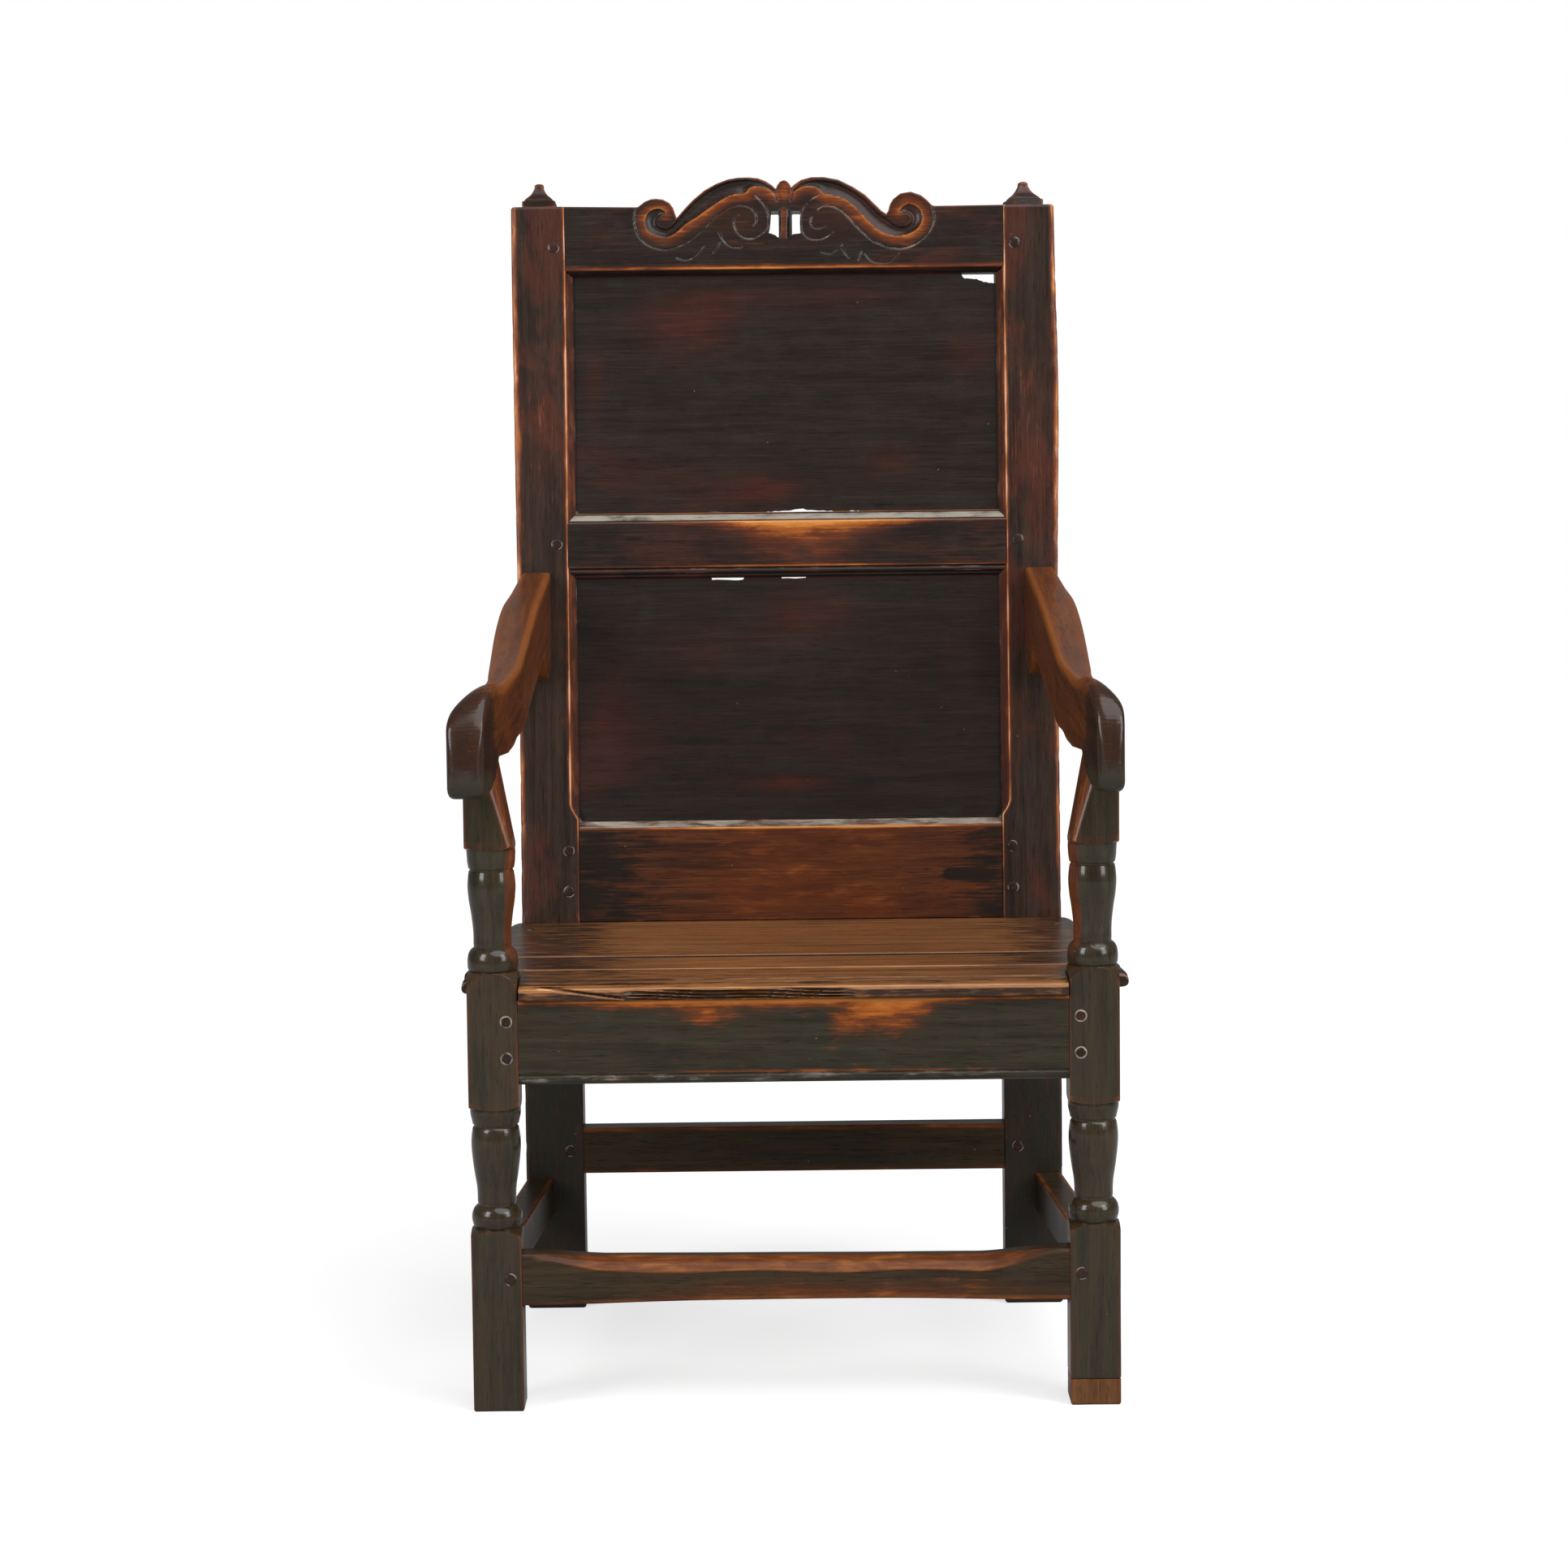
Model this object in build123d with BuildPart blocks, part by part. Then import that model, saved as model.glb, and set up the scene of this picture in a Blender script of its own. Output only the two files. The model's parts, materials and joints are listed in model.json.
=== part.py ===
from build123d import *
import os
from math import cos, radians, sin, sqrt, tan

os.makedirs("parts", exist_ok=True)

# An English joined oak armchair with a panelled back. Millimetres, Z up, the sitter looks to -Y.
# The origin is on the floor under the middle of the chair. "right" is +X, "left" is its mirror.

# --- the stance of the chair ---
leg_outer = 290.5  # centre line to the outer face of a front leg
leg_size = 45.5  # a front leg's square section
post_outer = 266.0  # centre line to the outer face of a back post
post_width = 57.6
post_depth = 46.0
seat_span = 420.0  # front faces of the legs to front faces of the posts, at the seat
seat_top = 387.0
seat_thick = 15.5
rake = radians(5.5)  # the back leans away above the seat
post_rise = 703.0  # seat to the top of a post, measured up the rake
arm_reach = 57.5  # the arm's nose in front of the legs

# --- sections and joints ---
back_rail_thick = 28.0
seat_rail_thick = 28.0
side_rail_thick = 26.0
stretcher_thick = 27.0
rail_set = 1.0  # seat rails and stretchers stand back from the faces of the legs
front_lip = 10.0  # face of a rail to its tenon and to the panel groove
tenon_thick = 8.0
post_tenon = 28.0  # length of the tenons of the back in the posts
leg_tenon = 25.0  # length of the tenons in the front legs and of the side rails
cheek_gap = 0.15  # glue-free fit of a tenon in its mortise, on each face
end_gap = 2.0  # a mortise is deeper than its tenon
peg_hole_r = 4.75
peg_fit = 0.05
peg_sides = 8
peg_sink = 0.6  # the pegs have worn below the surface
back_peg = 38.0  # lengths of the pegs
side_peg = 27.0
chamfer_size = 8.2  # stopped chamfer on the posts beside the panels
chamfer_stop = 20.0  # length over which that chamfer runs out
chamfer_toe = 1.0  # a tapering chamfer starts this wide
overrun = 1.0  # cutting shapes reach this far outside the wood

# --- the back, measured up the rake from the seat ---
lower_rail_top = 98.5
lower_rail_bevel = 7.0
mid_rail_bottom = 338.6
mid_rail_top = 402.5
mid_moulding = 10.0  # height of the moulding on each edge of the middle rail
moulding_depth = 8.0
crest_bottom = 636.9
crest_bevel = 6.0
crest_peg = 665.0
mid_peg = 372.7
lower_pegs = (30.1, 70.3)

# the cresting: two S-scrolls that meet at a bud, measured from the middle and from the rail's top
volute_x = 126.5
volute_drop = 10.5
volute_r = 20.5
scroll_x = 34.0
scroll_rise = 28.0
shoulder_x = 75.0  # where the scroll leans over towards its volute
shoulder_rise = 17.5
cusp_x = 7.5
cusp_rise = 17.0
bud_rise = 25.5
gouge_width = 10.0
gouge_depth = 2.5
gouge_inset = 9.0  # from the edge of the scroll to the middle of the gouge
eye_x = 118.0  # the gouge curls round this eye
eye_drop = 14.5
eye_r = 11.0
light_x = 9.6  # two small pierced lights beside the stem of the bud
light_width = 11.6
light_height = 22.0
light_drop = 16.0

# --- panels ---
groove_depth = 9.0
tenon_shoulder = groove_depth + 1.0  # the tenons are cut back past the grooves at top and bottom
panel_edge_gap = 1.0
panel_face_gap = 0.2
panel_field = 5.0  # how far the panel's back stands behind its feathered edges
panel_feather = 32.0
shrink_gap = 3.0  # height of the slits where the panels have shrunk from the middle rail
upper_slit = (-21.0, 46.0)  # their ends, from the middle
lower_slits = ((-77.0, -44.0), (-9.0, 16.0))
corner_break = 42.0  # the upper panel has lost a corner under the crest rail
corner_drop = 11.0

# --- rails and stretchers under the seat ---
seat_rail_bottom = 295.3
seat_rail_pegs = (320.0, 353.0)
thumb_mould = 9.0  # moulded lower edge of the front seat rail
quirk = 1.5
front_stretcher_bottom = 97.5
front_stretcher_top = 143.0
side_stretcher_bottom = 95.0
side_stretcher_top = 131.0
rear_stretcher_bottom = 135.5
rear_stretcher_top = 181.0
stretcher_wear = 7.0  # depth of the hollow that feet have worn in the front stretcher
front_peg_in = 10.5  # pegs stand this far in from the shoulder
stretcher_peg_in = 13.5  # those of the rear stretcher

# --- front legs ---
lower_block_top = 164.0
seat_block_rise = 9.0  # the square at the seat stands this far above it
turning = 109.5  # length of each turned section
arch_height = 17.0  # the squares end in a rounded arch above and a flat arc below
arc_height = 6.0
arch_round = 0.75  # fullness of the arch, where 1 is square
collar_r = 22.0
bead_r = 22.7
bead_height = 20.5
fillet_r = 17.1
fillet_height = 3.5
vase_r = 21.9
vase_fullest = 76.0  # height of the widest part of the vase above the foot of the turning
neck_r = 19.7
neck_height = 92.0
top_block = 77.5  # height of the square above the upper turning
leg_top_width = 28.5  # the leg narrows on its inner side to meet the arm
taper_length = 90.0
top_chamfer = 9.0  # and has a chamfer on its inner front corner that widens upwards
foot_tip = 23.6  # a later block pieced onto the right foot
tip_dowel_r = 8.0
tip_dowel = 22.0
foot_chamfer = 1.5

# --- seat ---
nosing = 6.0
ear_out = 11.5  # the seat's ears stand out past the legs
seat_rear_out = 10.0  # and its rear corners past the posts
front_board = 91.0  # rear edges of the first two boards, behind the legs' front faces
middle_board = 176.0
board_joint = 1.2
notch_fit = 0.5
seat_round = 5.0
corner_round = 12.0
seat_peg_r = 3.5
seat_peg = 34.0  # the pegs of the seat go on into the side rails
seat_peg_rows = (68.0, 133.0, 215.0, 370.0)  # behind the legs' front faces

# --- arms, heights measured from the tops of the front legs ---
arm_rear_top = 141.0  # top of the arm at the post
arm_rear_low = 51.0  # and its underside
arm_bend = 305.0  # behind the legs' front faces, where the top line straightens
arm_bend_top = 117.0
arm_mid_top = 82.5  # half way to the bend
arm_wrist = 60.0  # where the grip begins
arm_wrist_top = 65.5
arm_crown_out = 34.5  # in front of the leg, where the grip rounds over
arm_crown = 55.5
arm_nose_top = 11.0
arm_chin = 32.0  # the grip hangs this far below the top of the leg
arm_chin_out = 38.0
lobe_front = 376.0  # the bracket under the arm's rear end
lobe_length = 26.0  # to its lowest point
lobe_low = 40.0
lobe_high = 68.0
arm_under = 8.0  # the underside starts from a small cusp this much above the leg
arm_scallop = 28.0  # and a shallow scallop follows it
arm_rear_in = 32.0  # the arm's inner and outer faces at the post, in from the post's outer face
arm_rear_out = 4.0
arm_bend_in = 52.5  # its faces at the bend and forwards, in from the leg's outer face
arm_bend_out = 18.5
arm_mid_in = 46.5
arm_leg_in = 34.0
arm_leg_out = 1.5
arm_grip_in = 21.5
arm_grip_out = 7.5  # the nose swings out past the leg
arm_tenon_in = 18.0  # middle of the tenon in the post, in from the post's outer face
arm_tenon_low = 66.0
arm_tenon_high = 126.0
arm_tenon_thick = 9.0
arm_tenon = 25.0  # length of that tenon
leg_tenon_in = 21.5  # middle of the leg's tenon in the arm, in from the leg's outer face
leg_tenon_width = 12.0
leg_tenon_depth = 24.0
leg_tenon_rise = 34.0

# --- finials ---
finial_base = 33.0
finial_rise = 25.0
finial_waist = 20.5
finial_neck = 9.0
finial_tip = 5.0
finial_plinth = 7.0
finial_dowel_r = 4.5
finial_dowel = 24.0
finial_twist = 12.0  # the right finial has turned on its dowel

# --- derived places ---
back_reach = seat_span + post_rise * sin(rake) + post_depth * cos(rake)
front_y = arm_reach - (arm_reach + back_reach) / 2
back_y = front_y + seat_span
leg_back_y = front_y + leg_size
leg_x = leg_outer - leg_size / 2
leg_y = front_y + leg_size / 2
leg_inner = leg_outer - leg_size
post_inner = post_outer - post_width
post_tip = post_inner + post_tenon
leg_tip = leg_inner + leg_tenon
seat_under = seat_top - seat_thick
side_front_x = leg_outer - rail_set - side_rail_thick / 2
side_back_x = post_outer - rail_set - side_rail_thick / 2
peg_r = peg_hole_r - peg_fit
seat_block_top = seat_top + seat_block_rise
leg_top = seat_block_top + turning + arc_height + top_block
taper_start = leg_top - taper_length
ear_half = leg_outer + ear_out
seat_rear_half = post_outer + seat_rear_out
arm_tenon_x = post_outer - arm_tenon_in
leg_tenon_x = leg_outer - leg_tenon_in


def raked(depth=0.0):
    # the face of the back above the seat: X across, local Y up the rake, into the wood by depth
    face = Plane(origin=(0, back_y, seat_top), x_dir=(1, 0, 0), z_dir=(0, -cos(rake), sin(rake)))
    return face.offset(-depth)


def upright(y):
    # a vertical plane that faces the front
    return Plane(origin=(0, y, 0), x_dir=(1, 0, 0), z_dir=(0, -1, 0))


def raked_yz(rise, depth):
    # a point of the back's side view
    return (back_y + rise * sin(rake) + depth * cos(rake), seat_top + rise * cos(rake) - depth * sin(rake))


def post_face_y(z):
    # the front faces of the posts at a height above the seat
    return back_y + (z - seat_top) * tan(rake)


def arm_tenon_bar(gap=0.0, mode=Mode.ADD):
    # the arm's tenon or, with a gap, its mortise
    root_y = post_face_y(leg_top + arm_tenon_low)
    tip_y = post_face_y(leg_top + arm_tenon_high) + arm_tenon
    slab(
        Plane.XY.offset(leg_top + arm_tenon_high + gap),
        (arm_tenon_x - arm_tenon_thick / 2 - gap, root_y),
        (arm_tenon_x + arm_tenon_thick / 2 + gap, tip_y + (end_gap if gap else 0)),
        arm_tenon_high - arm_tenon_low + 2 * gap,
        mode,
    )


def leg_tenon_bar(gap=0.0, mode=Mode.ADD):
    # the tenon on top of the leg or its mortise in the arm
    rise = leg_tenon_rise + (end_gap if gap else 0)
    slab(
        Plane.XY.offset(leg_top + rise),
        (leg_tenon_x - leg_tenon_width / 2 - gap, leg_y - leg_tenon_depth / 2 - gap),
        (leg_tenon_x + leg_tenon_width / 2 + gap, leg_y + leg_tenon_depth / 2 + gap),
        rise,
        mode,
    )


def raked_section(rise):
    # a plane across the back posts: X across, local Y into the wood
    y, z = raked_yz(rise, 0)
    return Plane(origin=(0, y, z), x_dir=(1, 0, 0), z_dir=(0, sin(rake), cos(rake)))


def slab(plane, low, high, thick, mode=Mode.ADD):
    # a block behind a plane, from its low corner to its high corner
    with BuildSketch(plane) as outline:
        with Locations(((low[0] + high[0]) / 2, (low[1] + high[1]) / 2)):
            Rectangle(high[0] - low[0], high[1] - low[1])
    extrude(outline.sketch, amount=-thick, mode=mode)


def tenon(plane, tip, bottom, top):
    # one bar from tenon tip to tenon tip, through the rail's own section
    slab(plane.offset(-front_lip), (-tip, bottom + tenon_shoulder), (tip, top - tenon_shoulder), tenon_thick)


def mortise(plane, mouth, tip, bottom, top):
    slab(
        plane.offset(cheek_gap - front_lip),
        (mouth, bottom + tenon_shoulder - cheek_gap),
        (tip + end_gap, top - tenon_shoulder + cheek_gap),
        tenon_thick + 2 * cheek_gap,
        Mode.SUBTRACT,
    )


def bore(plane, points, depth, radius=peg_hole_r):
    with BuildSketch(plane) as holes:
        with Locations(*points):
            Circle(radius)
    extrude(holes.sketch, amount=-depth, mode=Mode.SUBTRACT)


def side_centre(y):
    # the sides draw in from the legs to the posts
    return side_front_x + (side_back_x - side_front_x) * (y - leg_back_y) / (back_y - leg_back_y)


def side_bar(bottom, top, thick, y_from, y_to, mode=Mode.ADD):
    # a bar along the slanting side of the chair
    with BuildSketch(Plane.XY.offset(bottom)) as plan:
        with BuildLine():
            Polyline(
                (side_centre(y_from) - thick / 2, y_from),
                (side_centre(y_from) + thick / 2, y_from),
                (side_centre(y_to) + thick / 2, y_to),
                (side_centre(y_to) - thick / 2, y_to),
                close=True,
            )
        make_face()
    extrude(plan.sketch, amount=top - bottom, mode=mode)


def side_mortise(bottom, top, y_from, y_to):
    low = bottom + tenon_shoulder - cheek_gap
    side_bar(low, top - tenon_shoulder + cheek_gap, tenon_thick + 2 * cheek_gap, y_from, y_to, Mode.SUBTRACT)


def save(piece, name):
    piece.part.label = name
    export_step(piece.part, f"parts/{name}.step")


def mirrored(piece):
    with BuildPart() as twin:
        mirror(piece.part, about=Plane.YZ)
    return twin


def in_leg(points):
    return [p for p in points if p[0] < back_y]


def in_post(points):
    return [p for p in points if p[0] > back_y]


def both(points):
    return [(side * x, z) for x, z in points for side in (1, -1)]


# --- where the pegs go ---
crest_pegs = [(post_inner + chamfer_size + front_peg_in, crest_peg)]
mid_pegs = [(post_inner + chamfer_size + front_peg_in, mid_peg)]
lower_back_pegs = [(post_inner + front_peg_in, rise) for rise in lower_pegs]
rear_seat_pegs = [(post_inner + front_peg_in, z) for z in seat_rail_pegs]
rear_stretcher_pegs = [(post_inner + stretcher_peg_in, (rear_stretcher_bottom + rear_stretcher_top) / 2)]
front_seat_pegs = [(leg_inner + front_peg_in, z) for z in seat_rail_pegs]
front_stretcher_pegs = [(leg_inner + front_peg_in, (front_stretcher_bottom + front_stretcher_top) / 2)]
side_peg_ys = (leg_back_y - front_peg_in, back_y + front_peg_in)
side_seat_pegs = [(y, z) for y in side_peg_ys for z in seat_rail_pegs]
side_stretcher_pegs = [(y, (side_stretcher_bottom + side_stretcher_top) / 2) for y in side_peg_ys]
leg_side = Plane.YZ.offset(leg_outer)
post_side = Plane.YZ.offset(post_outer)
arm_tenon_z = leg_top + (arm_tenon_low + arm_tenon_high) / 2
arm_post_peg = (post_face_y(arm_tenon_z) + front_peg_in, arm_tenon_z)
arm_leg_peg = (leg_y, leg_top + leg_tenon_rise / 2)
arm_peg_x = leg_outer - top_chamfer  # the arm's outer face above the leg
seat_pegs = [(side * side_centre(front_y + d), front_y + d) for d in seat_peg_rows for side in (1, -1)]

# --- back posts ---
with BuildPart() as back_post_right:
    with BuildSketch(Plane.YZ.offset(post_inner)) as side_view:
        with BuildLine():
            Polyline(
                (back_y, 0),
                (back_y, seat_top),
                raked_yz(post_rise, 0),
                raked_yz(post_rise, post_depth),
                (back_y + post_depth, seat_top - post_depth * tan(rake / 2)),
                (back_y + post_depth, 0),
                close=True,
            )
        make_face()
    extrude(amount=post_width)
    # the chamfer beside the panels, run out above the lower rail
    chamfer_start = (lower_rail_top + chamfer_stop, chamfer_size)
    toe = (lower_rail_top + chamfer_toe, chamfer_toe)
    for run in ((toe, chamfer_start), (chamfer_start, (post_rise, chamfer_size))):
        for rise, size in run:
            with BuildSketch(raked_section(rise)):
                with BuildLine():
                    Polyline((post_inner, 0), (post_inner + size, 0), (post_inner, size), close=True)
                make_face()
        loft(mode=Mode.SUBTRACT)
    slab(
        raked(front_lip),
        (post_inner, lower_rail_top - groove_depth),
        (post_inner + groove_depth, crest_bottom + groove_depth),
        tenon_thick,
        Mode.SUBTRACT,
    )
    mortise(raked(), post_inner, post_tip, crest_bottom, post_rise)
    mortise(raked(), post_inner, post_tip, mid_rail_bottom, mid_rail_top)
    mortise(raked(), post_inner, post_tip, 0, lower_rail_top)
    mortise(upright(back_y + rail_set), post_inner, post_tip, rear_stretcher_bottom, rear_stretcher_top)
    mortise(upright(back_y), post_inner, post_tip, seat_rail_bottom, seat_top)
    side_end = back_y + leg_tenon + end_gap
    side_mortise(seat_rail_bottom, seat_under, back_y, side_end)
    side_mortise(side_stretcher_bottom, side_stretcher_top, back_y, side_end)
    arm_tenon_bar(cheek_gap, Mode.SUBTRACT)
    bore(raked(), crest_pegs + mid_pegs + lower_back_pegs, back_peg)
    bore(upright(back_y), rear_seat_pegs + rear_stretcher_pegs, back_peg)
    bore(post_side, in_post(side_seat_pegs + side_stretcher_pegs), side_peg)
    bore(post_side, [arm_post_peg], side_peg)
    post_top_plane = raked_section(post_rise)
    with BuildSketch(post_top_plane) as dowel_hole:
        with Locations((post_outer - post_width / 2, post_depth / 2)):
            Circle(finial_dowel_r + peg_fit)
    extrude(dowel_hole.sketch, amount=-(finial_dowel + end_gap), mode=Mode.SUBTRACT)
save(back_post_right, "back_post_right")
save(mirrored(back_post_right), "back_post_left")


def scribe_ends(bottom, top):
    # the rail's shoulders are scribed over the chamfer of the posts
    reach = post_inner + chamfer_size
    with BuildSketch(raked_section(bottom)) as waste:
        with BuildLine():
            Polyline(
                (post_inner, chamfer_size),
                (reach, 0),
                (reach + overrun, 0),
                (reach + overrun, post_depth),
                (post_inner, post_depth),
                close=True,
            )
        make_face()
        mirror(about=Plane.YZ)
    extrude(waste.sketch, amount=top - bottom, mode=Mode.SUBTRACT)


def panel_groove(low, high):
    slab(raked(front_lip), (-post_inner, low), (post_inner, high), tenon_thick, Mode.SUBTRACT)


# --- crest rail ---
crest_half = post_inner + chamfer_size
with BuildPart() as crest_rail:
    with BuildSketch(raked()) as crest_outline:
        with BuildLine():
            Polyline((0, crest_bottom), (crest_half, crest_bottom), (crest_half, post_rise))
            volute_end = volute_x + sqrt(volute_r**2 - volute_drop**2)
            Line((crest_half, post_rise), (volute_end, post_rise))
            volute_y = post_rise - volute_drop
            notch = (volute_x - volute_r, volute_y)
            ThreePointArc((volute_end, post_rise), (volute_x, volute_y + volute_r), notch)
            peak = (scroll_x, post_rise + scroll_rise)
            cusp = (cusp_x, post_rise + cusp_rise)
            ThreePointArc(notch, (shoulder_x, post_rise + shoulder_rise), peak)
            ThreePointArc(peak, (scroll_x / 2, post_rise + (scroll_rise + bud_rise) / 2), cusp)
            bud_r = (cusp_x**2 + (bud_rise - cusp_rise) ** 2) / (2 * (bud_rise - cusp_rise))
            RadiusArc(cusp, (0, post_rise + bud_rise), -bud_r)
            mirror(about=Plane.YZ)
        make_face()
    extrude(amount=-back_rail_thick)
    with BuildSketch(raked()) as lights:
        with Locations(*both([(light_x, post_rise - light_drop)])):
            RectangleRounded(light_width, light_height, light_width / 3)
    extrude(lights.sketch, amount=-back_rail_thick, mode=Mode.SUBTRACT)
    # a gouged channel follows each scroll and curls round the eye of the volute
    with BuildSketch(raked()) as gouge:
        with BuildLine():
            shoulder_in = gouge_inset / sqrt(2)
            eye_y = post_rise - eye_drop
            Spline(
                (cusp_x + gouge_inset, post_rise + cusp_rise),
                (scroll_x, post_rise + scroll_rise - gouge_inset),
                (shoulder_x - shoulder_in, post_rise + shoulder_rise - shoulder_in),
                (eye_x, eye_y - eye_r),
                (eye_x + eye_r, eye_y),
                (eye_x, eye_y + eye_r),
            )
        trace(line_width=gouge_width)
        mirror(about=Plane.YZ)
    extrude(gouge.sketch, amount=-gouge_depth, mode=Mode.SUBTRACT)
    with BuildSketch(Plane.YZ.offset(-crest_half)) as bevel:
        with BuildLine():
            Polyline(
                raked_yz(crest_bottom, 0),
                raked_yz(crest_bottom + crest_bevel, 0),
                raked_yz(crest_bottom, crest_bevel),
                close=True,
            )
        make_face()
    extrude(bevel.sketch, amount=2 * crest_half, mode=Mode.SUBTRACT)
    scribe_ends(crest_bottom, post_rise)
    tenon(raked(), post_tip, crest_bottom, post_rise)
    panel_groove(crest_bottom, crest_bottom + groove_depth)
    bore(raked(), both(crest_pegs), back_peg)
save(crest_rail, "crest_rail")

# --- middle rail, moulded on both edges ---
with BuildPart() as mid_rail:
    with BuildSketch(Plane.YZ.offset(-crest_half)) as mid_section:
        with BuildLine():
            low_face = mid_rail_bottom + mid_moulding
            high_face = mid_rail_top - mid_moulding
            Polyline(
                raked_yz(low_face, 0),
                raked_yz(high_face, 0),
                raked_yz(high_face + quirk, quirk),
                raked_yz(mid_rail_top - quirk, moulding_depth - quirk),
                raked_yz(mid_rail_top, moulding_depth),
                raked_yz(mid_rail_top, back_rail_thick),
                raked_yz(mid_rail_bottom, back_rail_thick),
                raked_yz(mid_rail_bottom, moulding_depth),
                raked_yz(mid_rail_bottom + quirk, moulding_depth - quirk),
                raked_yz(low_face - quirk, quirk),
                close=True,
            )
        make_face()
    extrude(amount=2 * crest_half)
    scribe_ends(mid_rail_bottom, mid_rail_top)
    tenon(raked(), post_tip, mid_rail_bottom, mid_rail_top)
    panel_groove(mid_rail_bottom, mid_rail_bottom + groove_depth)
    panel_groove(mid_rail_top - groove_depth, mid_rail_top)
    bore(raked(), both(mid_pegs), back_peg)
save(mid_rail, "mid_rail")

# --- lower rail of the back, standing on the rear seat rail ---
with BuildPart() as lower_back_rail:
    with BuildSketch(Plane.YZ.offset(-post_inner)) as lower_section:
        with BuildLine():
            Polyline(
                (back_y, seat_top),
                raked_yz(lower_rail_top - lower_rail_bevel, 0),
                raked_yz(lower_rail_top, lower_rail_bevel),
                raked_yz(lower_rail_top, back_rail_thick),
                (back_y + back_rail_thick / cos(rake), seat_top),
                close=True,
            )
        make_face()
    extrude(amount=2 * post_inner)
    tenon(raked(), post_tip, 0, lower_rail_top)
    panel_groove(lower_rail_top - groove_depth, lower_rail_top)
    bore(raked(), both(lower_back_pegs), back_peg)
save(lower_back_rail, "lower_back_rail")


# --- panels, feathered at the back to run in the grooves ---
def panel(low, high, cuts):
    half = post_inner + groove_depth - panel_edge_gap
    bottom = low - groove_depth + panel_edge_gap
    top = high + groove_depth - panel_edge_gap
    thick = tenon_thick - 2 * panel_face_gap
    with BuildPart() as board:
        slab(raked(front_lip + panel_face_gap), (-half, bottom), (half, top), thick)
        feather_depth = front_lip + panel_face_gap + thick
        for inset, depth in ((0, feather_depth), (panel_feather, feather_depth + panel_field)):
            with BuildSketch(raked(depth)):
                with Locations((0, (bottom + top) / 2)):
                    inset_half = half - max(inset, groove_depth)
                    inset_rise = top - bottom - 2 * max(inset, groove_depth)
                    Rectangle(2 * inset_half, inset_rise)
        loft()
        for cut in cuts:
            with BuildSketch(raked()) as gap:
                with BuildLine():
                    Polyline(*cut, close=True)
                make_face()
            extrude(gap.sketch, amount=-post_depth, mode=Mode.SUBTRACT)
    return board


panel_edge = post_inner + groove_depth
upper_high = crest_bottom + groove_depth
corner_x = panel_edge - corner_break
upper_cuts = [
    [
        (corner_x, upper_high),
        (corner_x, crest_bottom - corner_drop / 2),
        (panel_edge, crest_bottom - corner_drop),
        (panel_edge, upper_high),
    ],
    [
        (upper_slit[0], mid_rail_top - groove_depth),
        (upper_slit[0], mid_rail_top),
        (sum(upper_slit) / 2, mid_rail_top + shrink_gap),
        (upper_slit[1], mid_rail_top),
        (upper_slit[1], mid_rail_top - groove_depth),
    ],
]
lower_cuts = [
    [
        (x_from, mid_rail_bottom + groove_depth),
        (x_from, mid_rail_bottom - shrink_gap / 2),
        (x_to, mid_rail_bottom - shrink_gap / 2),
        (x_to, mid_rail_bottom + groove_depth),
    ]
    for x_from, x_to in lower_slits
]
save(panel(mid_rail_top, crest_bottom, upper_cuts), "upper_panel")
save(panel(lower_rail_top, mid_rail_bottom, lower_cuts), "lower_panel")

# --- seat rails ---
front_rail_y = front_y + rail_set
with BuildPart() as front_seat_rail:
    with BuildSketch(Plane.YZ.offset(-leg_inner)) as rail_section:
        with BuildLine():
            mould_top = seat_rail_bottom + thumb_mould
            mould_front = front_rail_y + quirk
            Polyline(
                (mould_front + thumb_mould / 2, seat_rail_bottom),
                (front_rail_y + seat_rail_thick, seat_rail_bottom),
                (front_rail_y + seat_rail_thick, seat_under),
                (front_rail_y, seat_under),
                (front_rail_y, mould_top),
                (mould_front, mould_top),
                (mould_front, seat_rail_bottom + thumb_mould / 2),
            )
            RadiusArc(
                (mould_front, seat_rail_bottom + thumb_mould / 2),
                (mould_front + thumb_mould / 2, seat_rail_bottom),
                -thumb_mould / 2,
            )
        make_face()
    extrude(amount=2 * leg_inner)
    tenon(upright(front_rail_y), leg_tip, seat_rail_bottom, seat_under)
    bore(upright(front_y), both(front_seat_pegs), back_peg)
save(front_seat_rail, "front_seat_rail")

with BuildPart() as rear_seat_rail:
    slab(upright(back_y), (-post_inner, seat_rail_bottom), (post_inner, seat_top), back_rail_thick)
    tenon(upright(back_y), post_tip, seat_rail_bottom, seat_top)
    bore(upright(back_y), both(rear_seat_pegs), back_peg)
save(rear_seat_rail, "rear_seat_rail")


def side_piece(bottom, top, pegs):
    with BuildPart() as bar:
        side_bar(bottom, top, side_rail_thick, leg_back_y, back_y)
        low = bottom + tenon_shoulder
        side_bar(low, top - tenon_shoulder, tenon_thick, leg_back_y - leg_tenon, back_y + leg_tenon)
        bore(leg_side, in_leg(pegs), side_peg)
        bore(post_side, in_post(pegs), side_peg)
        bore(Plane.XY.offset(seat_top), seat_pegs, seat_peg, seat_peg_r)
    return bar


side_seat_rail_right = side_piece(seat_rail_bottom, seat_under, side_seat_pegs)
save(side_seat_rail_right, "side_seat_rail_right")
save(mirrored(side_seat_rail_right), "side_seat_rail_left")

# --- stretchers ---
side_stretcher_right = side_piece(side_stretcher_bottom, side_stretcher_top, side_stretcher_pegs)
save(side_stretcher_right, "side_stretcher_right")
save(mirrored(side_stretcher_right), "side_stretcher_left")

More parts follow.
